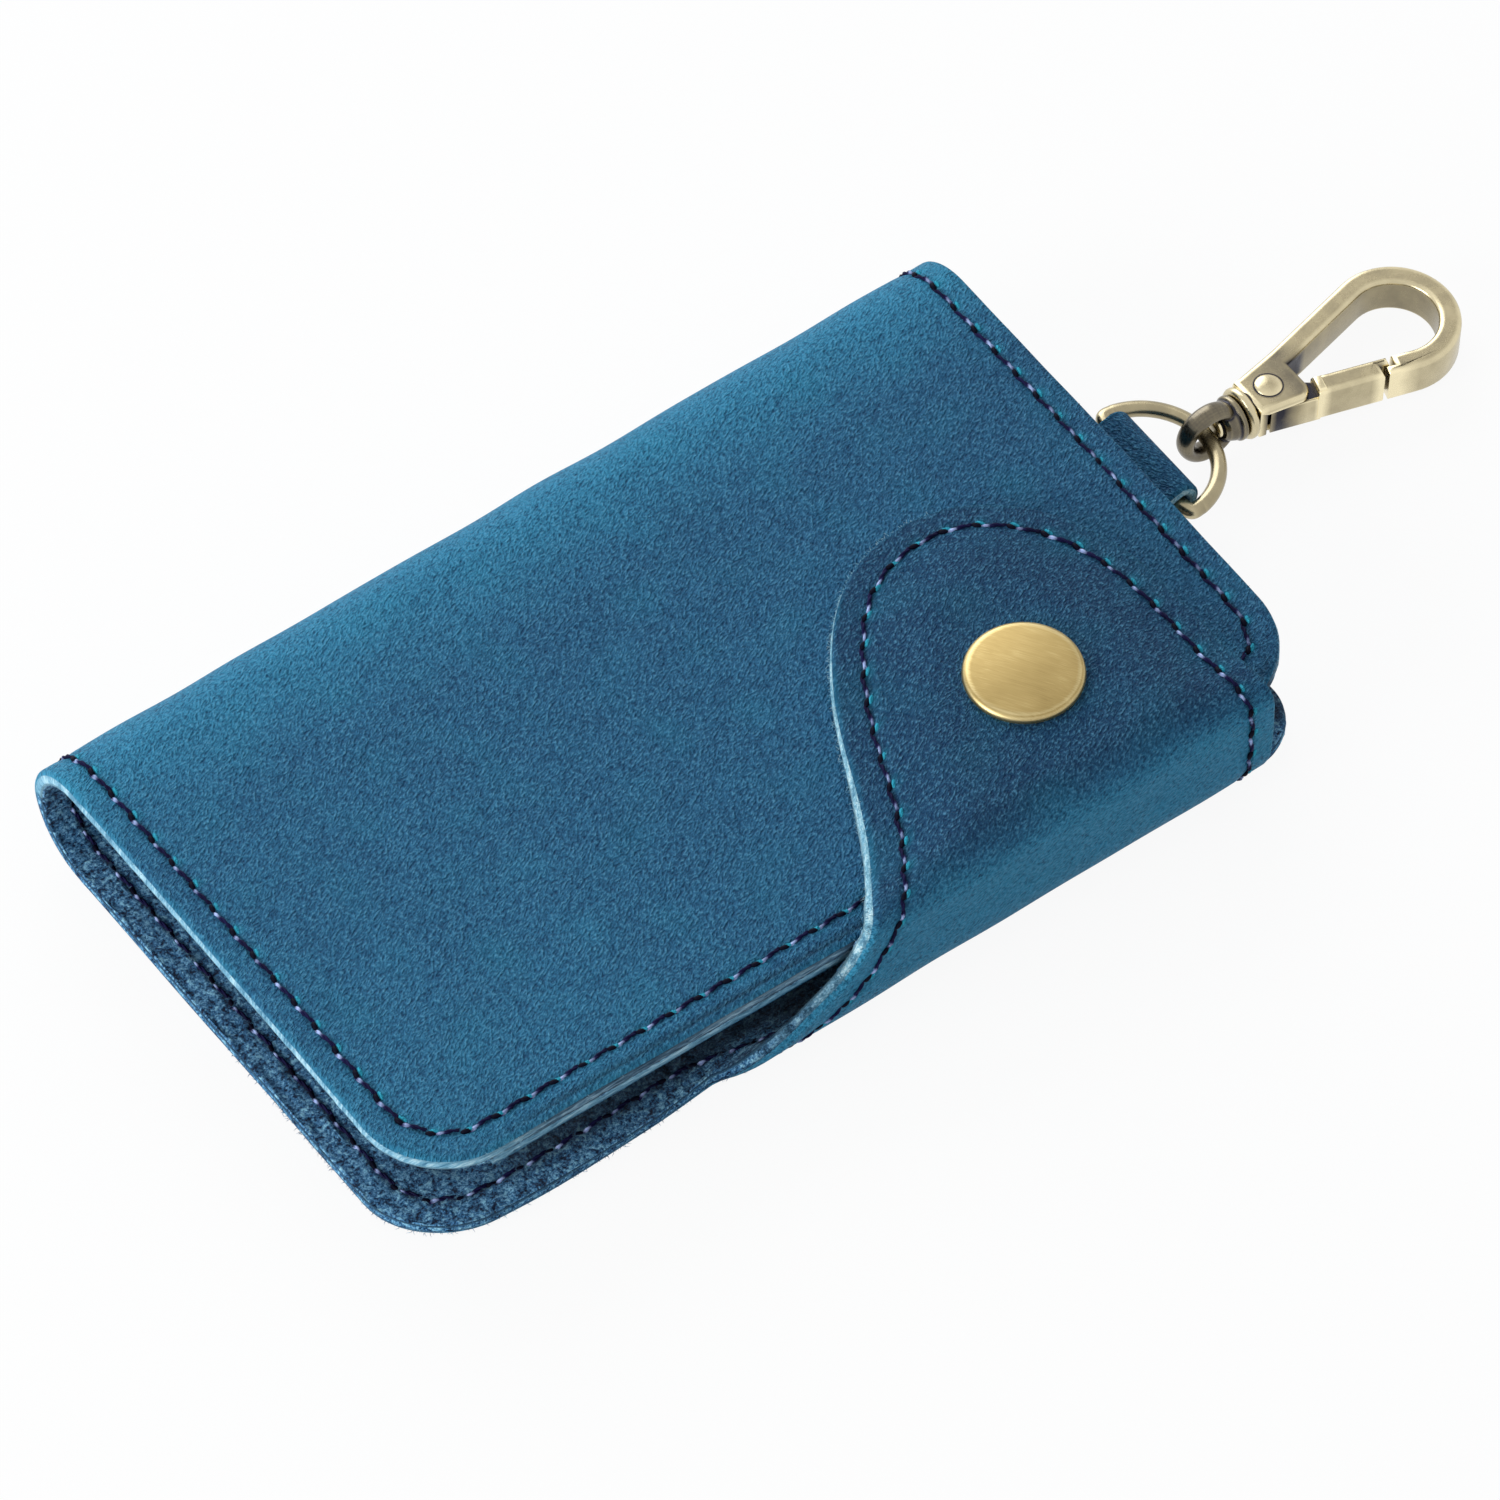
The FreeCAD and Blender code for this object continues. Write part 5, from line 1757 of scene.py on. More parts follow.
@dataclass
class StitchRow:
    """Two-ply thread that goes in and out of slanted slits along lines on the flat leather."""

    name: str
    lines: Sequence[Array]
    place: Place
    thickness: float
    finishes: Finishes
    slant: float = 0.6
    keep: Choice = lambda middle: np.full(len(middle), True)
    deeper: Choice = lambda middle: np.zeros(len(middle))
    pitch: float = 3.5
    places: int = 13
    sides: int = 6
    ply: float = 0.14
    twist: float = 0.11
    turns: float = 1.6
    lie: float = 0.03
    dive: float = 0.62
    flesh_lie: float = 0.08
    flesh_dive: float = 0.6
    slit: float = 1.05
    slit_slant: float = 0.45
    slit_radius: float = 0.3
    slit_depth: float = 0.17
    flesh_slit: float = 0.12
    slit_blunt: float = 0.97
    burr: Pair = (0.5, 0.0)
    burr_radius: float = 0.25
    tone: float = 0.32
    # A painted highlight near one end of each stitch: how strong and wide it is, where it peaks and how it
    # varies.
    painted_gleam: Mark = Mark(0.6, 0.11)
    painted_gleam_place: float = 0.27
    painted_gleam_range: Pair = (0.75, 1.1)
    up_step: float = 0.1

    def rise(self, flat: Array, level: Array) -> Array:
        """Place strands of flat points at their depths."""
        spots = self.place(flat[..., 0].ravel(), flat[..., 1].ravel(), level.ravel())
        return spots.reshape(*flat.shape[:2], 3)

    def build(self) -> Piece:
        """Make the stitches.

        Returns:
            All the stitches as one mesh, with dark strands in the slits as painted shade, and the slits'
            raised edges.
        """
        holes = [even_points(line, self.pitch) for line in self.lines]
        starts = np.vstack([line[:-1] for line in holes])
        ends = np.vstack([line[1:] for line in holes])
        chosen = self.keep((starts + ends) / 2)
        starts, ends = starts[chosen], ends[chosen]
        number = len(starts)
        deeper = self.deeper((starts + ends) / 2)[:, None]
        run = unit(ends - starts)
        across = right_of(run)
        share = np.linspace(0, 1, self.places)
        centred = (share - 0.5)[None, :, None]
        dive = np.abs(2 * share - 1) ** 3
        blunt = np.sqrt(np.clip(1 - (2 * share - 1) ** 2 * self.slit_blunt, 0, 1))
        # Painted highlight: each stitch is lighter near one end, where light would glint on the thread.
        painted_gleam = self.tone + self.painted_gleam.at(share - self.painted_gleam_place)
        random = np.random.default_rng(number)
        thread = StrandSet()
        for side in Side:
            slant = self.slant * side.value
            flat = starts[:, None] + (ends - starts)[:, None] * share[None, :, None]
            flat = flat + across[:, None] * slant * centred
            slits = starts[:, None] + (run * self.slit - across * slant * self.slit_slant)[:, None] * centred
            if side is Side.GRAIN:
                level = np.tile(self.lie + self.dive * dive, (number, 1))
                slit_level = np.full((number, self.places), self.slit_depth)
                # The raised edge beside each slit is pale: partly pulled leather, partly a painted highlight.
                raised = self.rise(slits + np.array(self.burr), slit_level)
                thread.add(raised, self.burr_radius * blunt, kind=1)
            else:
                level = self.thickness + self.flesh_lie + deeper - self.flesh_dive * dive
                slit_level = np.repeat(self.thickness + deeper - self.flesh_slit, self.places, axis=1)
            # A dark strand in each slit paints the shade inside the stitch hole.
            thread.add(self.rise(slits, slit_level), self.slit_radius * blunt)
            centre = self.rise(flat, level)
            up = unit(self.rise(flat, level - self.up_step) - centre)
            beside = np.cross(unit(np.gradient(centre, axis=1)), up)
            tone = painted_gleam * random.uniform(*self.painted_gleam_range, (number, 1))
            for ply in range(2):
                angle = ((share * self.turns + ply / 2) * 2 * math.pi)[None, :, None]
                offset = np.cos(angle) * up + np.sin(angle) * beside
                thread.add(centre + self.twist * offset, np.full(self.places, self.ply), tone)
        return thread.build(self.name, self.sides, [self.finishes.thread, self.finishes.grain])


def rescaled(values: Array, old: Pair, new: Pair) -> Array:
    """Move values from one span to another in proportion."""
    return new[0] + (values - old[0]) * (new[1] - new[0]) / (old[1] - old[0])


@dataclass
class LeatherCover:
    """The outer cover: back, spine, front and flap, with their stitching."""

    shape: CoverShape
    finishes: Finishes
    columns: int = 104
    left_zone: float = -38.0
    lip_gap: float = 0.4
    tip_run: float = 17.5
    tip_turn: float = 88.6
    back_slant: float = -0.6
    rise_start: int = 12
    rise_end: int = -4
    tip_points: int = 60
    tip_gap: float = 1.0
    joint: tuple[Pair, ...] = ((-26.0, 0.0), (-21.0, 0.1), (-17.6, 0.9))
    foot: Pair = (44.7, 30.0)
    foot_turn: float = 80.0
    tab_from: float = 49.0
    tab_across: Pair = (-3.9, 8.3)
    tab_depth: float = 2.6
    pocket_reach: float = 45.5
    pocket_hem: float = 6.0
    pocket_depth: float = 1.95
    front_fibres: tuple[int, float] = (160, 0.35)
    near_fibres: tuple[int, float] = (700, 0.5)
    near_fibres_end: float = 40.0
    flap_fibres: tuple[int, float] = (800, 0.6)
    flap_fibres_end: float = 34.0
    seam_rows: Triple = (0.0, 0.08, 0.25)
    seam_end: float = 0.6
    fold_steps: int = 20
    front_steps: int = 50
    front_corner_steps: int = 20
    far_steps: int = 24
    near_steps: int = 20
    near_corner_steps: int = 24
    near_columns: tuple[int, int, int] = (30, 52, 14)
    slit_points: int = 14
    wall_rows: Pair = (0.1, 0.7)
    wall_steps: int = 15
    flap_steps: tuple[int, int, int] = (24, 22, 34)
    flap_columns: int = 46
    tones: CoverTones = field(init=False)

    def __post_init__(self) -> None:
        """Take the tones that belong to the shape."""
        self.tones = CoverTones(self.shape)

    def corner_inset(self, gap: Array | float, radius: float) -> Array:
        """Return how far a rounded corner pulls in, this far from its end."""
        inside = np.clip(radius - gap, 0, radius)
        return radius - np.sqrt(radius**2 - inside**2)

    def fold_rows(self) -> Array:
        """Return rows round a quarter of the spine, close together at the seam."""
        bend = np.linspace(self.seam_end, self.shape.fold_arc, self.fold_steps)
        return np.concatenate([self.seam_rows, bend])

    def end_rows(self, start: float, radius: float, steps: int, turn: float = 90.0) -> Array:
        """Return rows after the start of a rounded corner, close together at its end."""
        return start + radius * np.sin(np.linspace(0, math.radians(turn), steps))[1:]

    def front_line(self) -> Array:
        """Draw the stitch line round the front.

        Returns:
            The line on the flat front.
        """
        shape = self.shape
        reach = shape.half_length - shape.stitch_inset
        start = shape.front_end - shape.corner
        radius = shape.corner - shape.stitch_inset
        left = arc((-shape.half_length + shape.corner, start), radius, 180, 90)
        right = arc((shape.half_length - shape.corner, start), radius, 90, 0)
        return np.vstack([[(-reach, 0.0)], left, right, [(reach, 0.0)]])

    def back_lines(self) -> tuple[Array, Array]:
        """Draw the stitch lines on the back and the flap.

        Returns:
            The line from the back's seam round the flap, and the one down the right end.
        """
        shape = self.shape
        inset = shape.stitch_inset
        reach = shape.half_length - inset
        near = shape.back_near - inset
        left_turn = (-shape.half_length + shape.corner, shape.back_near - shape.corner)
        left = arc(left_turn, shape.corner - inset, 180, 90)
        down = shape.flap_right[::-1]
        tip = inset_line(np.vstack([shape.flap_left[-self.tip_points:], down[1:self.tip_points]]), inset)
        rise = inset_line(shape.flap_left[self.rise_start:self.rise_end], inset)
        rise = rise[rise[:, 1] < tip[0, 1] - self.tip_gap]
        fall = inset_line(down, inset)
        fall = fall[fall[:, 1] < tip[-1, 1] - self.tip_gap]
        joint = curve_through([*[(x, near + up) for x, up in self.joint], tuple(rise[0])], 6)
        main = np.vstack([[(-reach, 0.0)], left, joint[:-1], rise, tip, fall, [self.foot]])
        right_turn = (shape.half_length - shape.back_corner, shape.back_near - shape.back_corner)
        right = arc(right_turn, shape.back_corner - inset, 0, self.foot_turn)
        return main, np.vstack([[(reach, 0.0)], right])

    def make_front(self) -> list[Piece]:
        """Make the front with the upper half of the spine.

        Returns:
            The sheet and its loose fibres.
        """
        shape = self.shape
        start = shape.front_end - shape.corner
        flat_rows = np.linspace(shape.fold_arc, start, self.front_steps)[1:]
        corner_rows = self.end_rows(start, shape.corner, self.front_corner_steps)
        along = np.concatenate([self.fold_rows(), flat_rows, corner_rows])
        reach = shape.half_length - self.corner_inset(shape.front_end - along, shape.corner)
        rows = [spread(-x, x, CLOSE_ENDS, self.columns) for x in reach]
        sheet = LeatherSheet("cover_front", FlatMesh.grid(rows, along), shape.front, shape.leather, (0.0,),
                             (self.front_line(),), seed=3, mirror=-1.0, crease=0.75, edge_face=Face.LAYER,
                             shade=self.tones.front, fade=self.tones.front_fade)
        item = sheet.build(self.finishes.leather())
        loose = sheet.fibres(*self.front_fibres, self.finishes.cut,
                             lambda spots: spots[:, 1] > shape.fold_arc)
        self.bend_front(item)
        self.bend_front(loose)
        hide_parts("front_panel")
        return [item, loose]

    def make_back_far(self) -> list[Piece]:
        """Make the lower half of the spine with the back's far half.

        Returns:
            The sheet and its stitches.
        """
        shape = self.shape
        flat_rows = np.linspace(shape.fold_arc, shape.back_middle, self.far_steps)[1:]
        along = np.concatenate([self.fold_rows(), flat_rows])
        rows = [spread(-shape.half_length, shape.half_length, CLOSE_ENDS, self.columns) for _ in along]
        reach = shape.half_length - shape.stitch_inset
        lines = tuple(np.array([(x, 0.0), (x, shape.back_middle)]) for x in (-reach, reach))
        sheet = LeatherSheet("cover_back_far", FlatMesh.grid(rows, along), shape.back, shape.leather,
                             (0.0, shape.back_middle), lines, seed=4, nap=0.1,
                             shade=self.tones.back, fade=everywhere(1.0))
        item = sheet.build(self.finishes.leather())
        stitches = StitchRow(
            "stitches_back_far", lines, shape.back, shape.leather, self.finishes, self.back_slant,
            deeper=lambda spots: self.tab_lift(spots[:, 0], shape.back_middle - spots[:, 1]),
        ).build()
        for piece in (item, stitches):
            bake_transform(piece)
        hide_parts("spine_fold")
        return [item, stitches]

    def near_mesh(self) -> FlatMesh:
        """Lay out the back's near half with the lower half of the flap's bend.

        Returns:
            The flat piece, with a slit between the flap and the right corner.
        """
        shape = self.shape
        start = shape.back_near - shape.corner
        corner_rows = self.end_rows(start, shape.corner, self.near_corner_steps)
        along = np.concatenate([np.linspace(0, start, self.near_steps), corner_rows])
        root, edge = shape.flap_left[0, 0], shape.flap_right[0, 0]
        lip = edge + self.lip_gap
        close = CLOSE_ENDS[:self.slit_points]
        left, middle, right = self.near_columns
        base = np.concatenate([
            spread(-shape.half_length, root, CLOSE_ENDS, left),
            np.linspace(root, edge - close[-1], middle)[1:],
            edge - close[::-1][1:],
            np.linspace(lip, shape.half_length, right),
        ])
        left_zone = (-shape.half_length, self.left_zone)
        right_zone = (lip, shape.half_length)
        rows = []
        for gap in shape.back_near - along:
            left = -shape.half_length + self.corner_inset(gap, shape.corner)
            right = shape.half_length - self.corner_inset(gap, shape.back_corner)
            row = np.where(base < self.left_zone, rescaled(base, left_zone, (left, self.left_zone)), base)
            rows.append(np.where(base > lip, rescaled(base, right_zone, (lip, right)), row))
        flat = FlatMesh.grid(rows, along)
        x, w = flat.points[flat.quads].mean(axis=1).T
        flat = flat.without((x > edge) & (x < lip) & (w > shape.low_start))
        last = base[(base >= root) & (base <= edge)]
        wall = np.linspace(shape.back_near, shape.wall_seam, self.wall_steps)
        rise = np.concatenate([[shape.back_near], wall[1:]])
        upper = [rescaled(last, (last[0], last[-1]), shape.flap_limits(distance)) for distance in rise]
        return flat.joined(FlatMesh.grid(upper, rise))

    def make_back_near(self) -> list[Piece]:
        """Make the back's near half with the lower half of the flap's bend.

        Returns:
            The sheet and its loose fibres.
        """
        shape = self.shape
        sheet = LeatherSheet("cover_back_near", self.near_mesh(), shape.flap, shape.leather,
                             (0.0, shape.wall_seam), self.back_lines(), seed=6, nap=0.1,
                             shade=self.tones.flap, fade=self.tones.back_fade, painted_shut_shadow=self.tones.back_painted_shadow)
        item = sheet.build(self.finishes.leather())
        loose = sheet.fibres(*self.near_fibres, self.finishes.flesh,
                             lambda spots: spots[:, 0] < self.near_fibres_end)
        for piece in (item, loose):
            self.bend_back(piece)
        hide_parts("back_panel")
        return [item, loose]

    def make_flap(self) -> list[Piece]:
        """Make the flap from the middle of its wall to its tip.

        Returns:
            The sheet, its loose fibres and its stitches.
        """
        shape = self.shape
        start = shape.flap_left[-1, 1] - self.tip_run
        second, third = (shape.wall_seam + row for row in self.wall_rows)
        wall, top, tip = self.flap_steps
        along = np.concatenate([
            [shape.wall_seam, second], np.linspace(third, shape.top_start, wall),
            np.linspace(shape.top_start, start, top)[1:],
            self.end_rows(start, self.tip_run, tip, self.tip_turn),
        ])
        rows = [spread(*shape.flap_limits(distance), CLOSE_ENDS, self.flap_columns) for distance in along]
        main, _ = self.back_lines()
        sheet = LeatherSheet("cover_flap", FlatMesh.grid(rows, along), shape.flap, shape.leather,
                             (shape.wall_seam,), (main,), seed=6, shade=self.tones.flap,
                             fade=self.tones.back_fade)
        item = sheet.build(self.finishes.leather())
        loose = sheet.fibres(*self.flap_fibres, self.finishes.cut,
                             lambda spots: spots[:, 0] < self.flap_fibres_end)
        stitches = StitchRow("stitches_flap", [main], shape.flap, shape.leather, self.finishes,
                             self.back_slant, keep=lambda spots: spots[:, 1] >= shape.wall_seam).build()
        for piece in (item, loose, stitches):
            self.bend_flap(piece)
        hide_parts("flap_side", "flap_tip")
        return [item, loose, stitches]

    def make_stitches(self) -> list[Piece]:
        """Sew the front and the back's near half.

        Returns:
            The two rows of stitches.
        """
        shape = self.shape
        front = StitchRow("stitches_front", [self.front_line()], shape.front, shape.leather, self.finishes,
                          deeper=self.pocket_lift).build()
        self.bend_front(front)
        back = StitchRow("stitches_back_near", self.back_lines(), shape.flap, shape.leather, self.finishes,
                         self.back_slant, keep=lambda spots: spots[:, 1] < shape.wall_seam,
                         deeper=lambda spots: self.tab_lift(spots[:, 0], -spots[:, 1])).build()
        self.bend_back(back)
        return [front, back]

    def pocket_lift(self, middle: Array) -> Array:
        """Return how much deeper a stitch of the front lies where it goes through the pocket."""
        near = middle[:, 1] > self.shape.front_end - self.pocket_hem
        return np.where(near & (np.abs(middle[:, 0]) < self.pocket_reach), self.pocket_depth, 0.0)

    def tab_lift(self, x: Array, y: Array) -> Array:
        """Return how much deeper a stitch of the back lies where it goes through the D-ring's tab."""
        low, high = self.tab_across
        return np.where((x > self.tab_from) & (y > low) & (y < high), self.tab_depth, 0.0)

    def bend_front(self, piece: Piece) -> None:
        """Fix a front piece's place into its mesh."""
        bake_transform(piece)

    def bend_back(self, piece: Piece) -> None:
        """Fix a back piece's place into its mesh."""
        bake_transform(piece)

    def bend_flap(self, piece: Piece) -> None:
        """Fix a flap piece's place into its mesh.

        Args:
            piece: The sheet, its fibres or its stitches.
        """
        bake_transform(piece)


@dataclass
class CardPocket:
    """The card pocket inside the front."""

    half_length: float = 46.0
    near: float = -32.9
    depth: float = 42.0
    thickness: float = 1.2
    hem: Pair = (4.0, 5.0)
    bottom: float = 11.08
    turned_in: float = 0.68
    sewn: float = 2.6
    sewn_gap: float = 0.5
    steps: int = 24
    columns: int = 60

    def build(self, shape: CoverShape, finishes: Finishes) -> Piece:
        """Make the pocket with its grain face inwards.

        Args:
            shape: The cover that it is sewn to.
            finishes: The materials.

        Returns:
            The pocket.
        """
        def place(u: Array, v: Array, deep: Array) -> Array:
            """Place points of the pocket under the front.

            Args:
                u: Flat places along the pocket.
                v: Flat places away from its near edge.
                deep: How deep below the grain face the points lie.

            Returns:
                The points.
            """
            rim = np.minimum(self.half_length - np.abs(u), v)
            share = 1 + self.turned_in / self.thickness * (1 - smooth_step(*self.hem, rim))
            y = self.near + v
            return np.stack([u, y, self.bottom + deep * share - shape.sag(u, y)], 1)

        along = spread(0, self.depth, CLOSE_ENDS, self.steps)
        rows = [spread(-self.half_length, self.half_length, CLOSE_ENDS, self.columns) for _ in along]
        reach = self.half_length - self.sewn_gap
        line = np.array([(-reach, self.sewn), (reach, self.sewn)])
        sheet = LeatherSheet("card_pocket", FlatMesh.grid(rows, along), place, self.thickness, (), (line,),
                             seed=9, edge=0.3, edge_face=Face.LAYER, fade=everywhere(0.3))
        item = sheet.build(finishes.leather())
        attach(item, "front")
        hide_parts("front_pocket")
        return item


@dataclass
class HangerTab:
    """The leather loop that holds the D-ring."""

    width: float = 12.2
    centre: float = 2.2
    thickness: float = 1.3
    tail_x: float = 47.6
    bar_x: float = 60.4
    bar_z: float = 4.2
    radius: float = 2.4
    foot: float = 1.86
    under: tuple[float, ...] = (54.0, 58.5)
    over: tuple[Pair, ...] = ((58.0, 5.75), (55.4, 4.75))
    flat_x: float = 52.5
    tone: float = 0.36
    turn: Pair = (-80.0, 85.0)
    turn_steps: int = 26
    tail_steps: int = 8
    close: tuple[float, ...] = (0.0, 0.2, 0.5, 1.0)
    steps: int = 60
    side_points: int = 10
    columns: int = 14

    def fold_line(self) -> Array:
        """Draw the strip's outer face from the side.

        Returns:
            The line from the lower tail round the ring's bar to the upper tail.
        """
        upper = self.foot + 2 * self.thickness
        turn = arc((self.bar_x, self.bar_z), self.radius, *self.turn, self.turn_steps)
        below = [(x, self.foot) for x in (self.tail_x, *self.under)]
        above = [*self.over, (self.flat_x, upper), (self.tail_x, upper)]
        lower = curve_through([*below, tuple(turn[0])], self.tail_steps)[:-1]
        return np.vstack([lower, turn, curve_through([tuple(turn[-1]), *above], self.tail_steps)[1:]])

    def build(self, finishes: Finishes) -> Piece:
        """Make the strip folded round the ring's bar.

        Args:
            finishes: The materials.

        Returns:
            The strip.
        """
        line = self.fold_line()
        length = lengths_along(line)
        out = right_of(unit(np.gradient(line, length, axis=0)))

        def place(u: Array, v: Array, deep: Array) -> Array:
            """Place a point of the strip on its folded line."""
            x, z, out_x, out_z = (np.interp(v, length, column) for column in (*line.T, *out.T))
            return np.stack([x - out_x * deep, self.centre + u, z - out_z * deep], 1)

        along = spread(0, length[-1], np.array(self.close), self.steps)
        sides = CLOSE_ENDS[:self.side_points]
        rows = [spread(-self.width / 2, self.width / 2, sides, self.columns) for _ in along]
        sheet = LeatherSheet("hanger_tab_strip", FlatMesh.grid(rows, along), place, self.thickness, seed=12,
                             edge=0.35, waves=0.02, shade=everywhere(self.tone))
        item = sheet.build(finishes.leather())
        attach(item, "back")
        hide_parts("hanger_tab")
        return item


@dataclass
class SnapFastener:
    """The snap's cap on the flap. Its other pieces are the CAD ones."""

    x: float = 28.0
    y: float = -20.4
    base: float = 18.6
    radius: float = 6.2
    height: float = 1.3
    tail: float = 2.15
    post: float = 1.4
    dome: float = 0.34
    dome_inset: float = 0.5
    dome_end: float = 0.004
    dome_steps: int = 14
    post_top: float = -0.1
    segments: int = 96
    sharp: float = 40.0
    rim: tuple[Pair, ...] = (
        (-0.08, 0.5), (0.0, 0.12), (0.2, 0.0), (0.46, 0.0), (0.66, 0.06), (0.82, 0.18), (0.92, 0.34),
    )

    def build(self, finishes: Finishes) -> Piece:
        """Make the cap with its bevelled rim, and dress the inner pieces.

        Args:
            finishes: The materials.

        Returns:
            The cap.
        """
        reach = (self.radius - self.dome_inset) * np.linspace(1, self.dome_end, self.dome_steps)
        profile = [
            (-self.tail, AXIS_GAP), (-self.tail, self.post), (self.post_top, self.post),
            *[(up, self.radius - inset) for up, inset in self.rim],
            *zip(self.height - self.dome * (reach / self.radius) ** 2, reach),
        ]
        item = turned("snap_cap_turned", profile, self.segments)
        item.data.transform(Matrix.Translation(Vector((self.x, self.y, self.base)) * MM) @ UPRIGHT)
        dress(item, [finishes.cap])
        store_wear_and_painted_light(item)
        sharpen(item, self.sharp)
        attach(item, "flap_tip")
        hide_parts("snap_cap")
        for node in ("snap_socket", "snap_stud", "snap_base"):
            dress_node(node, finishes.brass)
        return item


@dataclass
class KeyRow:
    """The plate, rivets, hooks and gates inside the case."""

    count: int = 6

    def build(self, finishes: Finishes) -> None:
        """Dress the CAD nodes.

        Args:
            finishes: The materials.
        """
        dress_node("key_plate", finishes.steel)
        dress_node("key_plate_rivets", finishes.brass)
        for number in range(1, self.count + 1):
            dress_node(f"key_hook_{number}", finishes.steel)
            dress_node(f"key_gate_{number}", finishes.spring)


@dataclass(frozen=True)
class HookPatinaAndShade:
    """How dark the parts of the hook chain are: patina in its hollows, and painted shade in the slot, under
    the cheek, inside the bow, round the rivet's head and on the evenly shadowed eye and ring.
    """

    ring: float = 0.22
    eye: float = 0.42
    rivet_seat: float = 0.75
    rivet_head: float = 1.44
    bow: float = 0.55
    arm: float = 0.3
    arm_run: float = 7.0
    inner_rim: float = 0.2
    inner_fade: Pair = (-0.8, -0.3)
    collar: float = 0.16
    collar_end: float = 1.65
    groove: float = 0.7
    groove_start: float = 1.0
    groove_radius: float = 2.45
    slot: float = 0.8
    slot_over: float = 0.1
    slot_span: Pair = (1.9, 1.6)
    cheek: float = 0.3
    cheek_start: float = 1.6
    cheek_rim: float = 0.6
    cheek_depth: float = 0.4
    side: float = 0.95
    side_start: float = 1.45
    side_rim: float = 0.3
    side_fade: Pair = (-0.9, -0.6)


@dataclass
class SwivelHook:
    """The D-ring, the swivel eye and the snap hook, modelled along the hook's own axis."""

    finishes: Finishes
    patina_and_shade: HookPatinaAndShade = HookPatinaAndShade()
    bar: Triple = (60.4, 2.2, 4.2)
    tilt: float = 2.873384
    ring_radius: float = 7.6
    ring_wire: float = 0.85
    ring_inset: float = 0.1
    ring_turn: float = 78.0
    ring_corner: tuple[Pair, ...] = ((0.0, 2.0), (0.0, 1.3), (0.45, 0.1))
    eye_x: float = 8.05
    eye_radius: float = 2.8
    eye_wire: float = 0.8
    eye_width: float = 1.15
    cast_size: float = 0.11
    head_start: float = 8.8
    head: tuple[Pair, ...] = ((0.0, AXIS_GAP), (0.0, 0.85), (0.15, 1.12), (0.4, 1.15), (0.5, 1.0))
    boss_start: float = 9.45
    boss_end: float = 11.65
    boss_radius: float = 2.2
    hook_x: float = 11.8
    collar: tuple[Pair, ...] = (
        (0.02, 1.0), (0.02, 2.35), (0.2, 2.72), (0.45, 2.86), (0.75, 2.86), (0.98, 2.7), (1.08, 2.38),
        (1.18, 2.22), (1.6, 2.16), (1.75, 1.9), (1.75, AXIS_GAP),
    )
    pivot_x: float = 15.7
    rivet: tuple[Pair, ...] = (
        (0.4, AXIS_GAP), (0.38, 0.7), (0.28, 1.15), (0.1, 1.42), (0.03, 1.46), (0.025, 1.68), (-0.02, 1.7),
        (-0.04, 1.0),
    )
    bow_x: float = 32.0
    bow_radius: float = 6.9
    bow_bar: float = 2.35
    tangent: float = 105.0
    arm_length: float = 12.033
    nose_length: float = 2.4
    nose_lip: float = 1.0
    gate_gap: float = 0.5
    gate_step: float = 0.2
    gate_rear: float = 11.183
    gate_tail: float = 2.2
    gate_lap: float = 0.4
    gate_root: float = 1.5
    gate_half: float = 1.2
    gate_side: float = 0.4
    gate_side_inset: float = 0.03
    gate_side_lift: float = 0.02
    gate_side_start: float = 14.4
    root_inset: float = 0.15
    root_corner: tuple[Pair, ...] = ((0.5, 0.1), (0.25, 0.5), (0.15, 1.1))
    thumb_across: Pair = (0.25, 0.2)
    thumb_along: Pair = (0.05, 1.0)
    thumb_up: Pair = (-0.4, 0.22)
    thickness: float = 4.4
    collar_x: float = 1.5
    collar_half: float = 2.6
    cheek_length: float = 7.4
    cheek_width: float = 6.4
    cheek_corner: float = 1.4
    low_cheek: float = 2.18
    slot_start: float = 2.0
    slot_side: float = 1.7
    slot_height: float = 2.6
    clear: Pair = (4.0, -6.0)
    clear_depth: float = 1.0
    body_edge: float = 0.72
    bar_edge: float = 0.5
    root_edge: float = 0.22
    thumb_edge: float = 0.24
    slot_edge: float = 0.12
    sharp: float = 48.0
    boss_foot: tuple[Pair, ...] = ((0.0, 1.5), (0.35, 1.9))
    boss_shoulder: float = 1.1
    boss_lip: tuple[Pair, ...] = ((0.75, 0.05), (0.6, 0.32), (0.15, 0.32), (0.0, 0.15))
    relax_share: float = 0.5
    relax_rounds: int = 5
    foot_back: Pair = (0.3, 0.2)
    foot_front: float = 0.7
    arm_shares: tuple[float, ...] = (1.0, 0.75, 0.5, 0.25)
    low_cheek_turn: float = 50.0
    root_turn: Pair = (75.0, 270.0)
    rivet_sharp: float = 50.0
    rivet_segments: int = 48

    @property
    def inner(self) -> float:
        """Inside radius of the bow."""
        return self.bow_radius - self.bow_bar

    @property
    def middle(self) -> float:
        """Radius of the middle of the bow's bar."""
        return (self.inner + self.bow_radius) / 2

    @property
    def half(self) -> float:
        """Half the hook's thickness."""
        return self.thickness / 2

    @property
    def cheek_end(self) -> float:
        """Where the cheeks end."""
        return self.hook_x + self.cheek_length

    @property
    def frame_matrix(self) -> Matrix:
        """Turn and move from the hook's own axis to the case."""
        return Matrix.Translation(Vector(self.bar) * MM) @ Matrix.Rotation(math.radians(self.tilt), 4, "Y")

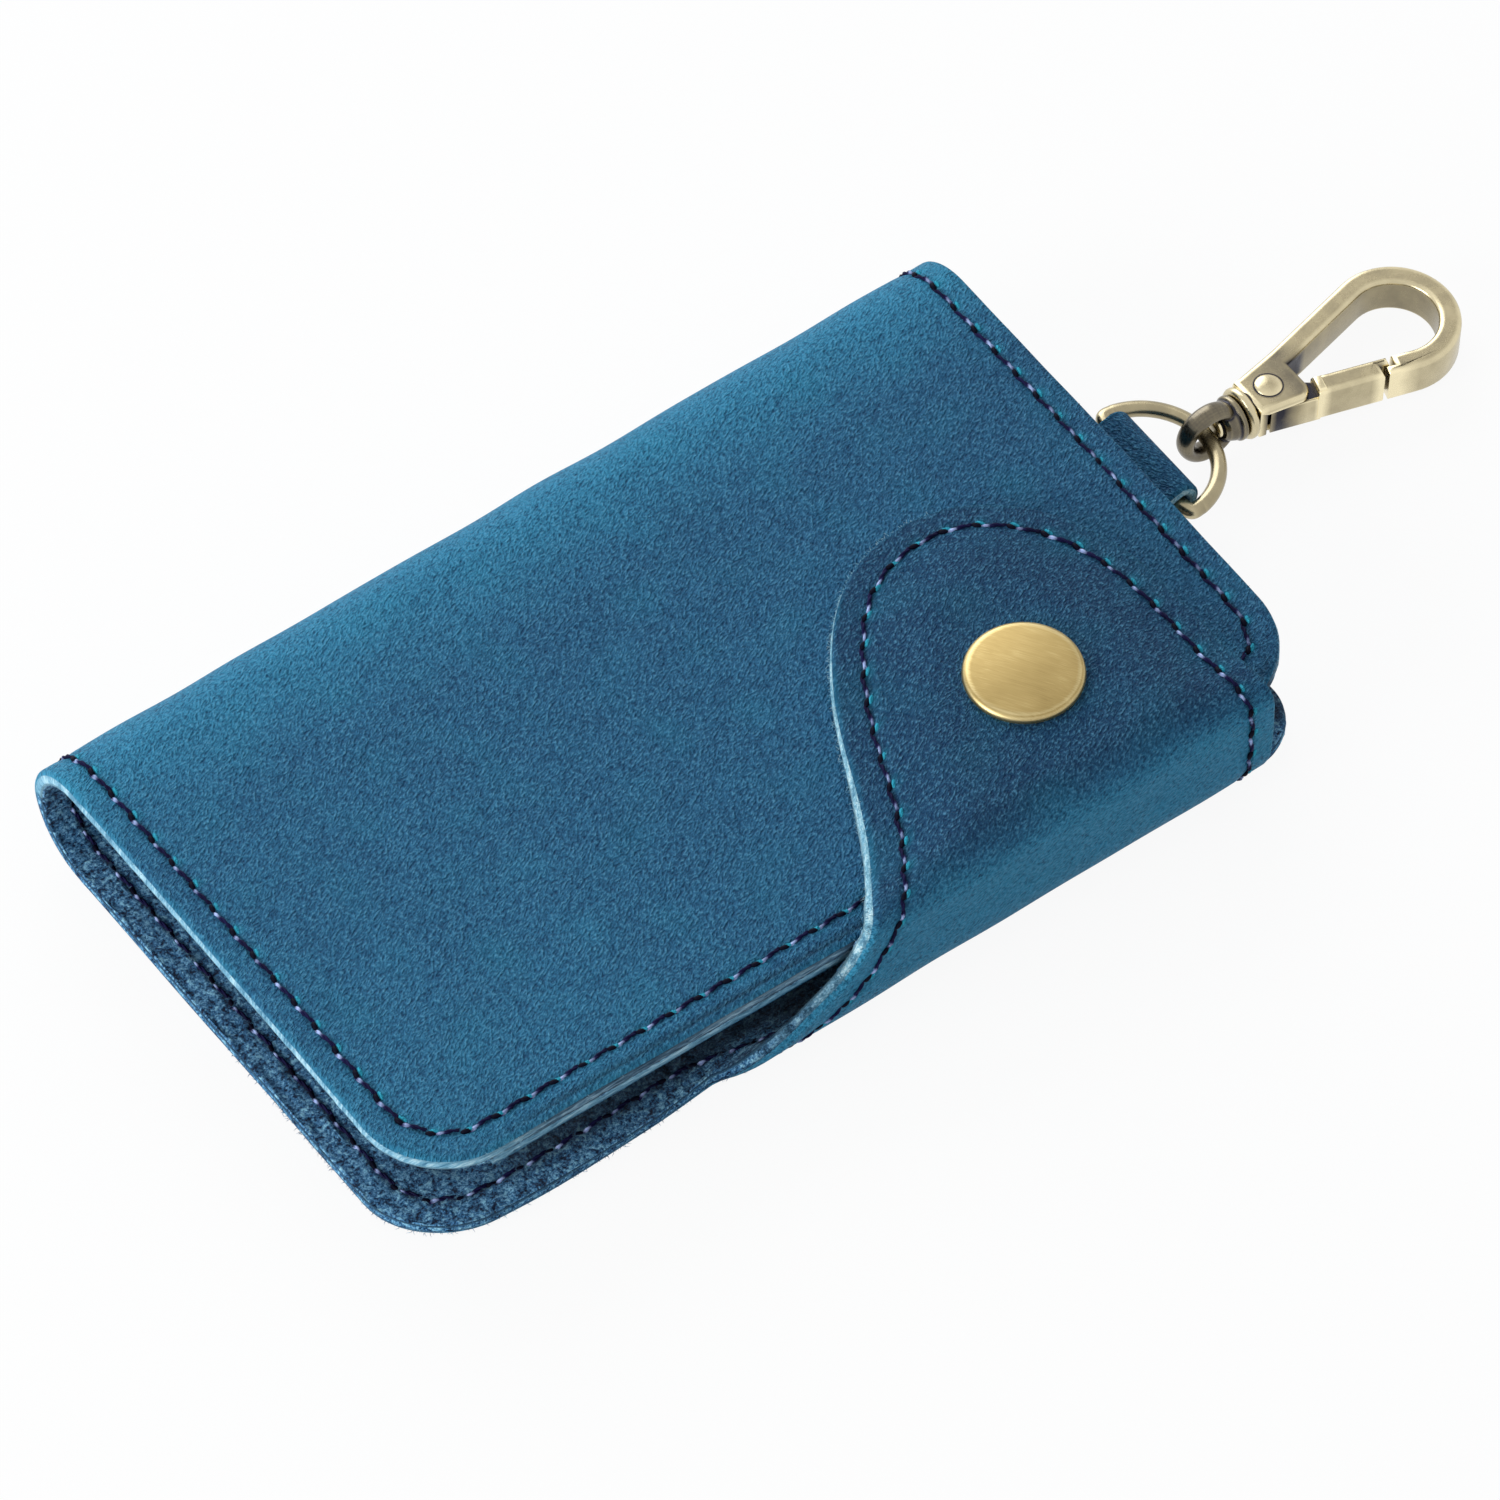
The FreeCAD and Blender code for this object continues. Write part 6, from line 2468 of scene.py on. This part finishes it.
    def arm(self, radius: float, *lengths: float, side: int = -1) -> Array:
        """Find points on an arm's straight run.

        Args:
            radius: The radius of the bow that the run goes on from.
            lengths: How far from the bow each point is.
            side: 1 for the fixed arm, -1 for the gate's.

        Returns:
            The points, seen from above.
        """
        angle = math.radians(self.tangent)
        away = np.array(lengths)
        x = self.bow_x + radius * math.cos(angle) - away * math.sin(angle)
        return np.stack([x, side * (radius * math.sin(angle) + away * math.cos(angle))], 1)

    def darkness(self, points: Array) -> Array:
        """Say how dark the hook is: patina and painted shade in the slot, on the collar, inside the bow and
        on the side under the cheek.

        Args:
            points: Points on the hook.

        Returns:
            One number for each point.
        """
        patina_and_shade = self.patina_and_shade
        x, y, z = points.T
        angle = math.radians(self.tangent)
        past = x - self.hook_x
        on_arm = (x - self.bow_x) * math.cos(angle) + np.abs(y) * math.sin(angle)
        across = np.where(x < self.bow_x + self.inner * math.cos(angle), on_arm, np.hypot(x - self.bow_x, y))
        rim = across - self.bow_radius
        face = np.abs(z) - self.half
        near = 1 - smooth_step(self.cheek_end, self.cheek_end + patina_and_shade.arm_run, x)
        # Inside the bow: patina and painted shade.
        inside = (patina_and_shade.bow + patina_and_shade.arm * near) * (across < self.inner + patina_and_shade.inner_rim)
        dark = inside * (1 - smooth_step(*patina_and_shade.inner_fade, face))
        in_groove = (past > patina_and_shade.groove_start) & (np.hypot(y, z) < patina_and_shade.groove_radius)
        dark = np.where(past < patina_and_shade.collar_end, np.where(in_groove, patina_and_shade.groove, patina_and_shade.collar), dark)
        # Painted shade in the slot, on the cheeks and on the side under the cheek.
        start, over = patina_and_shade.slot_span
        in_slot = (np.abs(z) < self.slot_height / 2 + patina_and_shade.slot_over) & (rim < -patina_and_shade.side_rim)
        in_slot = in_slot & (past > start) & (x < self.cheek_end + over)
        dark = np.where(in_slot, patina_and_shade.slot, dark)
        on_cheek = (face > -patina_and_shade.cheek_depth) & (rim < -patina_and_shade.cheek_rim)
        on_cheek = on_cheek & (past > patina_and_shade.cheek_start) & (x < self.cheek_end)
        dark = np.where(on_cheek, patina_and_shade.cheek, dark)
        first, last = patina_and_shade.side_fade
        side = patina_and_shade.side - patina_and_shade.side * smooth_step(self.pivot_x + first, self.cheek_end + last, x)
        under = (z < self.slot_height / 2) & (rim >= -patina_and_shade.side_rim) & (past > patina_and_shade.side_start)
        return np.where(under, np.maximum(dark, side), dark)

    def settle(self, item: Piece, body: str, node: str) -> Piece:
        """Put a piece on the case, dress it and let it ride on its body.

        Args:
            item: The piece, along the hook's own axis.
            body: The body that it rides on.
            node: The CAD node that it stands for.

        Returns:
            The piece.
        """
        points = read(item.data.vertices, "co", 3, np.float32) / MM
        # Painted shade: the ring and the eye are evenly darker, as is the rivet's seat round its head.
        on_seat = np.hypot(points[:, 0] - self.pivot_x, points[:, 1]) > self.patina_and_shade.rivet_head
        plain = {"swivel_eye": self.patina_and_shade.eye, "d_ring": self.patina_and_shade.ring,
                 "gate_rivet": self.patina_and_shade.rivet_seat * on_seat}
        item.data.transform(self.frame_matrix)
        dress(item, [self.finishes.brass])
        store_wear_and_painted_light(item, plain[node] if node in plain else self.darkness(points))
        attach(item, body)
        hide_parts(node)
        return item

    def make_ring(self) -> Piece:
        """Make the D-ring.

        Returns:
            The ring.
        """
        reach = self.ring_radius - self.ring_inset
        bow = arc((0, 0), self.ring_radius, -self.ring_turn, self.ring_turn, 60)
        corner = [(x, inset - reach) for x, inset in self.ring_corner]
        low = curve_through([*corner, tuple(bow[0])], 8)[:-1]
        high = (low * np.array([1, -1]))[::-1]
        bar = np.linspace(high[-1], low[0], 20)
        line = np.vstack([low, bow, high, bar[1:-1]])
        centres = np.column_stack([line, np.zeros(len(line))])
        item = tube("d_ring_wire", centres, self.ring_wire, self.ring_wire, (0, 0, 1))
        return self.settle(item, "d_ring", "d_ring")

    def make_eye(self) -> Piece:
        """Make the swivel eye as one casting.

        Returns:
            The eye.
        """
        circle = arc((self.eye_x, 0), self.eye_radius, 0, 360, 49)[:-1]
        centres = np.column_stack([circle[:, 0], np.zeros(len(circle)), circle[:, 1]])
        loop = tube("eye_loop", centres, self.eye_wire, self.eye_width, (0, 1, 0))
        start, end, radius = self.boss_start, self.boss_end, self.boss_radius
        boss = turned("eye_boss", [
            (start, AXIS_GAP), *[(start + along, across) for along, across in self.boss_foot],
            (start + self.boss_shoulder, radius),
            *[(end - back, radius + out) for back, out in self.boss_lip], (end, AXIS_GAP),
        ])
        item = joined("swivel_eye_cast", [loop, boss])
        resize([item], 1 / MM)
        remesh = item.modifiers.new("cast", "REMESH")
        remesh.mode = "VOXEL"
        remesh.voxel_size = self.cast_size
        relax = item.modifiers.new("relax", "SMOOTH")
        relax.factor = self.relax_share
        relax.iterations = self.relax_rounds
        item = applied(item, "swivel_eye_cast")
        resize([item], MM)
        return self.settle(item, "eye", "swivel_eye")

    def body_line(self) -> Array:
        """Draw the outline of the hook's body, seen from above.

        Returns:
            The outline.
        """
        foot = self.hook_x + self.collar_x
        base = self.collar_half
        back, side = self.foot_back
        quarters = self.arm_length * np.array(self.arm_shares)
        reach = self.nose_length + self.nose_lip
        corner = (self.cheek_end - self.cheek_corner, self.cheek_corner - self.cheek_width / 2)
        return np.vstack([
            [(foot - back, side - base), (foot + self.foot_front, -base)],
            arc(corner, self.cheek_corner, -90, 0, 8),
            self.arm(self.inner, *quarters, side=1),
            arc((self.bow_x, 0), self.inner, self.tangent, -self.tangent, 44),
            self.arm(self.inner, self.nose_length),
            self.arm(self.middle, self.nose_length, reach),
            self.arm(self.bow_radius, reach),
            arc((self.bow_x, 0), self.bow_radius, -self.tangent, self.tangent, 52),
            self.arm(self.bow_radius, *quarters[::-1], side=1),
            [(foot + self.foot_front, base), (foot - back, base - side)],
        ])

    def make_cutters(self) -> list[Piece]:
        """Make what is cut out of the hook's plate.

        Returns:
            The slot, and the room round the lower cheek.
        """
        start = self.hook_x + self.slot_start
        end = self.cheek_end + self.clear[0]
        open_side = self.clear[1]
        corners = [(start, open_side), (end, open_side), (end, self.slot_side)]
        deep = self.slot_height / 2
        slot_line = np.array([*corners, (start, self.slot_side)])
        slot = block("hook_slot", slot_line, -deep, deep, self.slot_edge, 2)
        rim = arc((self.pivot_x, 0), self.low_cheek, self.low_cheek_turn, -self.tangent, 24)
        slant = math.tan(math.radians(self.tangent - 90))
        foot = (start, rim[-1, 1] + (rim[-1, 0] - start) * slant)
        below = -self.half - self.clear_depth
        low = block("hook_low_cheek", np.vstack([corners, rim, [foot]]), below, 0.0, self.slot_edge / 2, 1)
        return [slot, low]

    def make_body(self) -> Piece:
        """Make the hook's body with its slot, lower cheek, collar and post.

        Returns:
            The body.
        """
        body = block("hook_body_plate", self.body_line(), -self.half, self.half, self.body_edge, 4)
        cutters = self.make_cutters()
        resize([body, *cutters], 1 / MM)
        for cutter in cutters:
            cut = body.modifiers.new(cutter.name, "BOOLEAN")
            cut.operation = "DIFFERENCE"
            cut.solver = "EXACT"
            cut.object = cutter
        body = applied(body, "hook_body_plate")
        resize([body], MM)
        for cutter in cutters:
            bpy.data.objects.remove(cutter)
        post = turned("hook_post", [
            *[(self.head_start + along, radius) for along, radius in self.head],
            *[(self.hook_x + along, radius) for along, radius in self.collar],
        ])
        item = joined("hook_body_cast", [body, post])
        sharpen(item, self.sharp)
        return self.settle(item, "hook", "hook_body")

    def make_gate(self) -> Piece:
        """Make the gate: its bar, the root between the cheeks, the thumb rest and the side wall.

        Returns:
            The gate.
        """
        rear = self.gate_rear
        outer = self.bow_radius
        end = self.nose_length + self.gate_gap
        lip = self.nose_lip + end
        bar = block("gate_bar", np.vstack([
            self.arm(self.inner, rear),
            self.arm(outer, *np.linspace(rear, lip, 6)),
            self.arm(self.middle - self.gate_step, lip, end),
            self.arm(self.inner, *np.linspace(end, rear, 6)[:-1]),
        ]), -self.half, self.half, self.bar_edge, 4)
        lap = rear - self.gate_lap
        plate = block("gate_root", np.vstack([
            self.arm(outer - self.root_inset, lap), self.arm(self.inner, lap),
            arc((self.pivot_x, 0), self.gate_root, *self.root_turn, 18),
            *[self.arm(outer - inset, rear + self.gate_tail - back) for inset, back in self.root_corner],
        ]), -self.gate_half, self.gate_half, self.root_edge, 3)
        near, far = self.inner + self.thumb_across[0], outer - self.thumb_across[1]
        first, last = (rear - along for along in self.thumb_along)
        low, high = (self.half + up for up in self.thumb_up)
        thumb_line = np.vstack([self.arm(near, first), self.arm(far, first, last), self.arm(near, last)])
        thumb = block("gate_thumb", thumb_line, low, high, self.thumb_edge, 3)
        angle = math.radians(self.tangent)
        reach = (self.bow_x + outer * math.cos(angle) - self.gate_side_start) / math.sin(angle)
        lengths = np.linspace(lap, reach, 8)
        side_line = np.vstack([
            self.arm(outer - self.gate_side, *lengths),
            self.arm(outer - self.gate_side_inset, *lengths[::-1]),
        ])
        bottom = self.gate_side_lift - self.half
        side = block("gate_side", side_line, bottom, self.gate_half, self.slot_edge, 2)
        item = joined("hook_gate_cast", [bar, plate, thumb, side])
        sharpen(item, self.sharp)
        return self.settle(item, "gate", "hook_gate")

    def make_rivet(self) -> Piece:
        """Make the gate's rivet with its domed heads.

        Returns:
            The rivet.
        """
        lower = [(-self.half - up, radius) for up, radius in self.rivet]
        upper = [(self.half + up, radius) for up, radius in self.rivet[::-1]]
        item = turned("gate_rivet_turned", [*lower, *upper], self.rivet_segments)
        item.data.transform(Matrix.Translation((self.pivot_x * MM, 0, 0)) @ UPRIGHT)
        sharpen(item, self.rivet_sharp)
        return self.settle(item, "hook", "gate_rivet")

    def build(self) -> list[Piece]:
        """Make every piece of the chain, and dress the gate's spring."""
        dress_node("gate_spring", self.finishes.spring)
        return [self.make_ring(), self.make_eye(), self.make_body(), self.make_gate(), self.make_rivet()]


@dataclass
class Studio:
    """The floor, the lights, the background and the camera."""

    lens: float = 376.02
    sensor: float = 36.0
    distance: float = 1571.0
    near_clip: float = 0.05
    far_clip: float = 20.0
    target: Triple = (7.67, -2.12, 2.46)
    back: Triple = (-0.3527, -0.4823, 0.8019)
    floor_half: float = 3000.0
    floor_drop: float = 0.28
    floor_colour: Colour = (0.86, 0.87, 0.88)
    floor_rough: float = 0.9
    floor_glow: float = 0.92
    ambient_colour: Colour = (0.93, 0.97, 1.0)
    ambient_strength: float = 0.5
    lights: tuple[tuple[str, Triple, float, float, Colour], ...] = (
        ("window", (200, 950, 520), 900, 8.0, (0.98, 0.99, 1.0)),
        ("left_fill", (-950, 60, 330), 600, 8.0, (1.0, 0.99, 0.97)),
    )

    def build(self) -> None:
        """Make all of it."""
        self.make_floor()
        self.make_world()
        for light in self.lights:
            self.make_light(*light)
        self.make_camera()

    def is_seen(self, tree: bpy.types.NodeTree) -> Socket:
        """Tell the rays that show the background itself.

        Args:
            tree: The nodes of a material or a world.

        Returns:
            1 for such rays and 0 for others.
        """
        path = tree.nodes.new("ShaderNodeLightPath")
        seen = path.outputs["Is Camera Ray"]
        for name in ("Is Glossy Ray", "Is Transmission Ray"):
            node = tree.nodes.new("ShaderNodeMath")
            node.operation = "MAXIMUM"
            tree.links.new(seen, node.inputs[0])
            tree.links.new(path.outputs[name], node.inputs[1])
            seen = node.outputs[0]
        return seen

    def whiten(self, tree: bpy.types.NodeTree, kind: str, share: Socket, plain: Socket, output: str) -> None:
        """Mix pure white into a floor or a background.

        Args:
            tree: The nodes of a material or a world.
            kind: The type of the white node.
            share: How much of the white is shown.
            plain: What it is mixed into.
            output: The name of the tree's output node.
        """
        white = tree.nodes.new(kind)
        white.inputs["Color"].default_value = (1, 1, 1, 1)
        white.inputs["Strength"].default_value = 1.0
        mix = tree.nodes.new("ShaderNodeMixShader")
        for source, target in zip((share, plain, white.outputs[0]), mix.inputs):
            tree.links.new(source, target)
        tree.links.new(mix.outputs[0], tree.nodes[output].inputs["Surface"])

    def make_floor(self) -> None:
        """Make a pale floor that keeps the case's shadow."""
        half = self.floor_half
        corners = [(x * half, y * half, -self.floor_drop) for x, y in ((-1, -1), (1, -1), (1, 1), (-1, 1))]
        item = new_object("floor", np.array(corners), [[0, 1, 2, 3]])
        material = bpy.data.materials.new("pale_floor")
        material.use_nodes = True
        tree = material.node_tree
        shader = tree.nodes["Principled BSDF"]
        shader.inputs["Base Color"].default_value = (*self.floor_colour, 1)
        shader.inputs["Roughness"].default_value = self.floor_rough
        share = tree.nodes.new("ShaderNodeMath")
        share.operation = "MULTIPLY"
        share.inputs[1].default_value = self.floor_glow
        tree.links.new(self.is_seen(tree), share.inputs[0])
        self.whiten(tree, "ShaderNodeEmission", share.outputs[0], shader.outputs[0], "Material Output")
        dress(item, [material])

    def make_world(self) -> None:
        """Make a white background that lights the case softly."""
        world = bpy.data.worlds.new("studio")
        world.use_nodes = True
        tree = world.node_tree
        ambient = tree.nodes["Background"]
        ambient.inputs["Color"].default_value = (*self.ambient_colour, 1)
        ambient.inputs["Strength"].default_value = self.ambient_strength
        self.whiten(tree, "ShaderNodeBackground", self.is_seen(tree), ambient.outputs[0], "World Output")
        bpy.context.scene.world = world

    def make_light(self, name: str, place: Triple, size: float, power: float, colour: Colour) -> None:
        """Make a square soft light that points at the case.

        Args:
            name: The light's name.
            place: Where it stands.
            size: The length of its sides.
            power: Its power.
            colour: Its colour.
        """
        light = bpy.data.lights.new(name, "AREA")
        light.size = size * MM
        light.energy = power
        light.color = colour
        item = bpy.data.objects.new(name, light)
        item.location = Vector(place) * MM
        item.rotation_euler = (-Vector(place)).to_track_quat("-Z", "Y").to_euler()
        bpy.context.scene.collection.objects.link(item)

    def make_camera(self) -> None:
        """Make the camera at the photograph's angle."""
        camera = bpy.data.cameras.new("camera")
        camera.lens = self.lens
        camera.sensor_width = self.sensor
        camera.clip_start = self.near_clip
        camera.clip_end = self.far_clip
        item = bpy.data.objects.new("camera", camera)
        back = Vector(self.back).normalized()
        item.location = (Vector(self.target) + back * self.distance) * MM
        item.rotation_euler = (-back).to_track_quat("-Z", "Y").to_euler()
        bpy.context.scene.collection.objects.link(item)
        bpy.context.scene.camera = item


def write_sizes() -> None:
    """Bring the scene up to date."""
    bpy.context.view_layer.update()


def main() -> None:
    """Build the case in order."""
    logging.basicConfig(level=logging.INFO, format="%(name)s: %(message)s")
    bpy.context.scene.view_settings.view_transform = "Standard"
    finishes = Finishes()
    shape = CoverShape()
    cover = LeatherCover(shape, finishes)
    pieces = [
        *cover.make_front(), *cover.make_back_far(), *cover.make_back_near(), *cover.make_flap(),
        CardPocket().build(shape, finishes), HangerTab().build(finishes), SnapFastener().build(finishes),
        *SwivelHook(finishes).build(), *cover.make_stitches(),
    ]
    KeyRow().build(finishes)
    for piece in pieces:
        LOG.info("%s: %d faces", piece.name, len(piece.data.polygons))
    Studio().build()
    write_sizes()


if __name__ == "__main__":
    main()
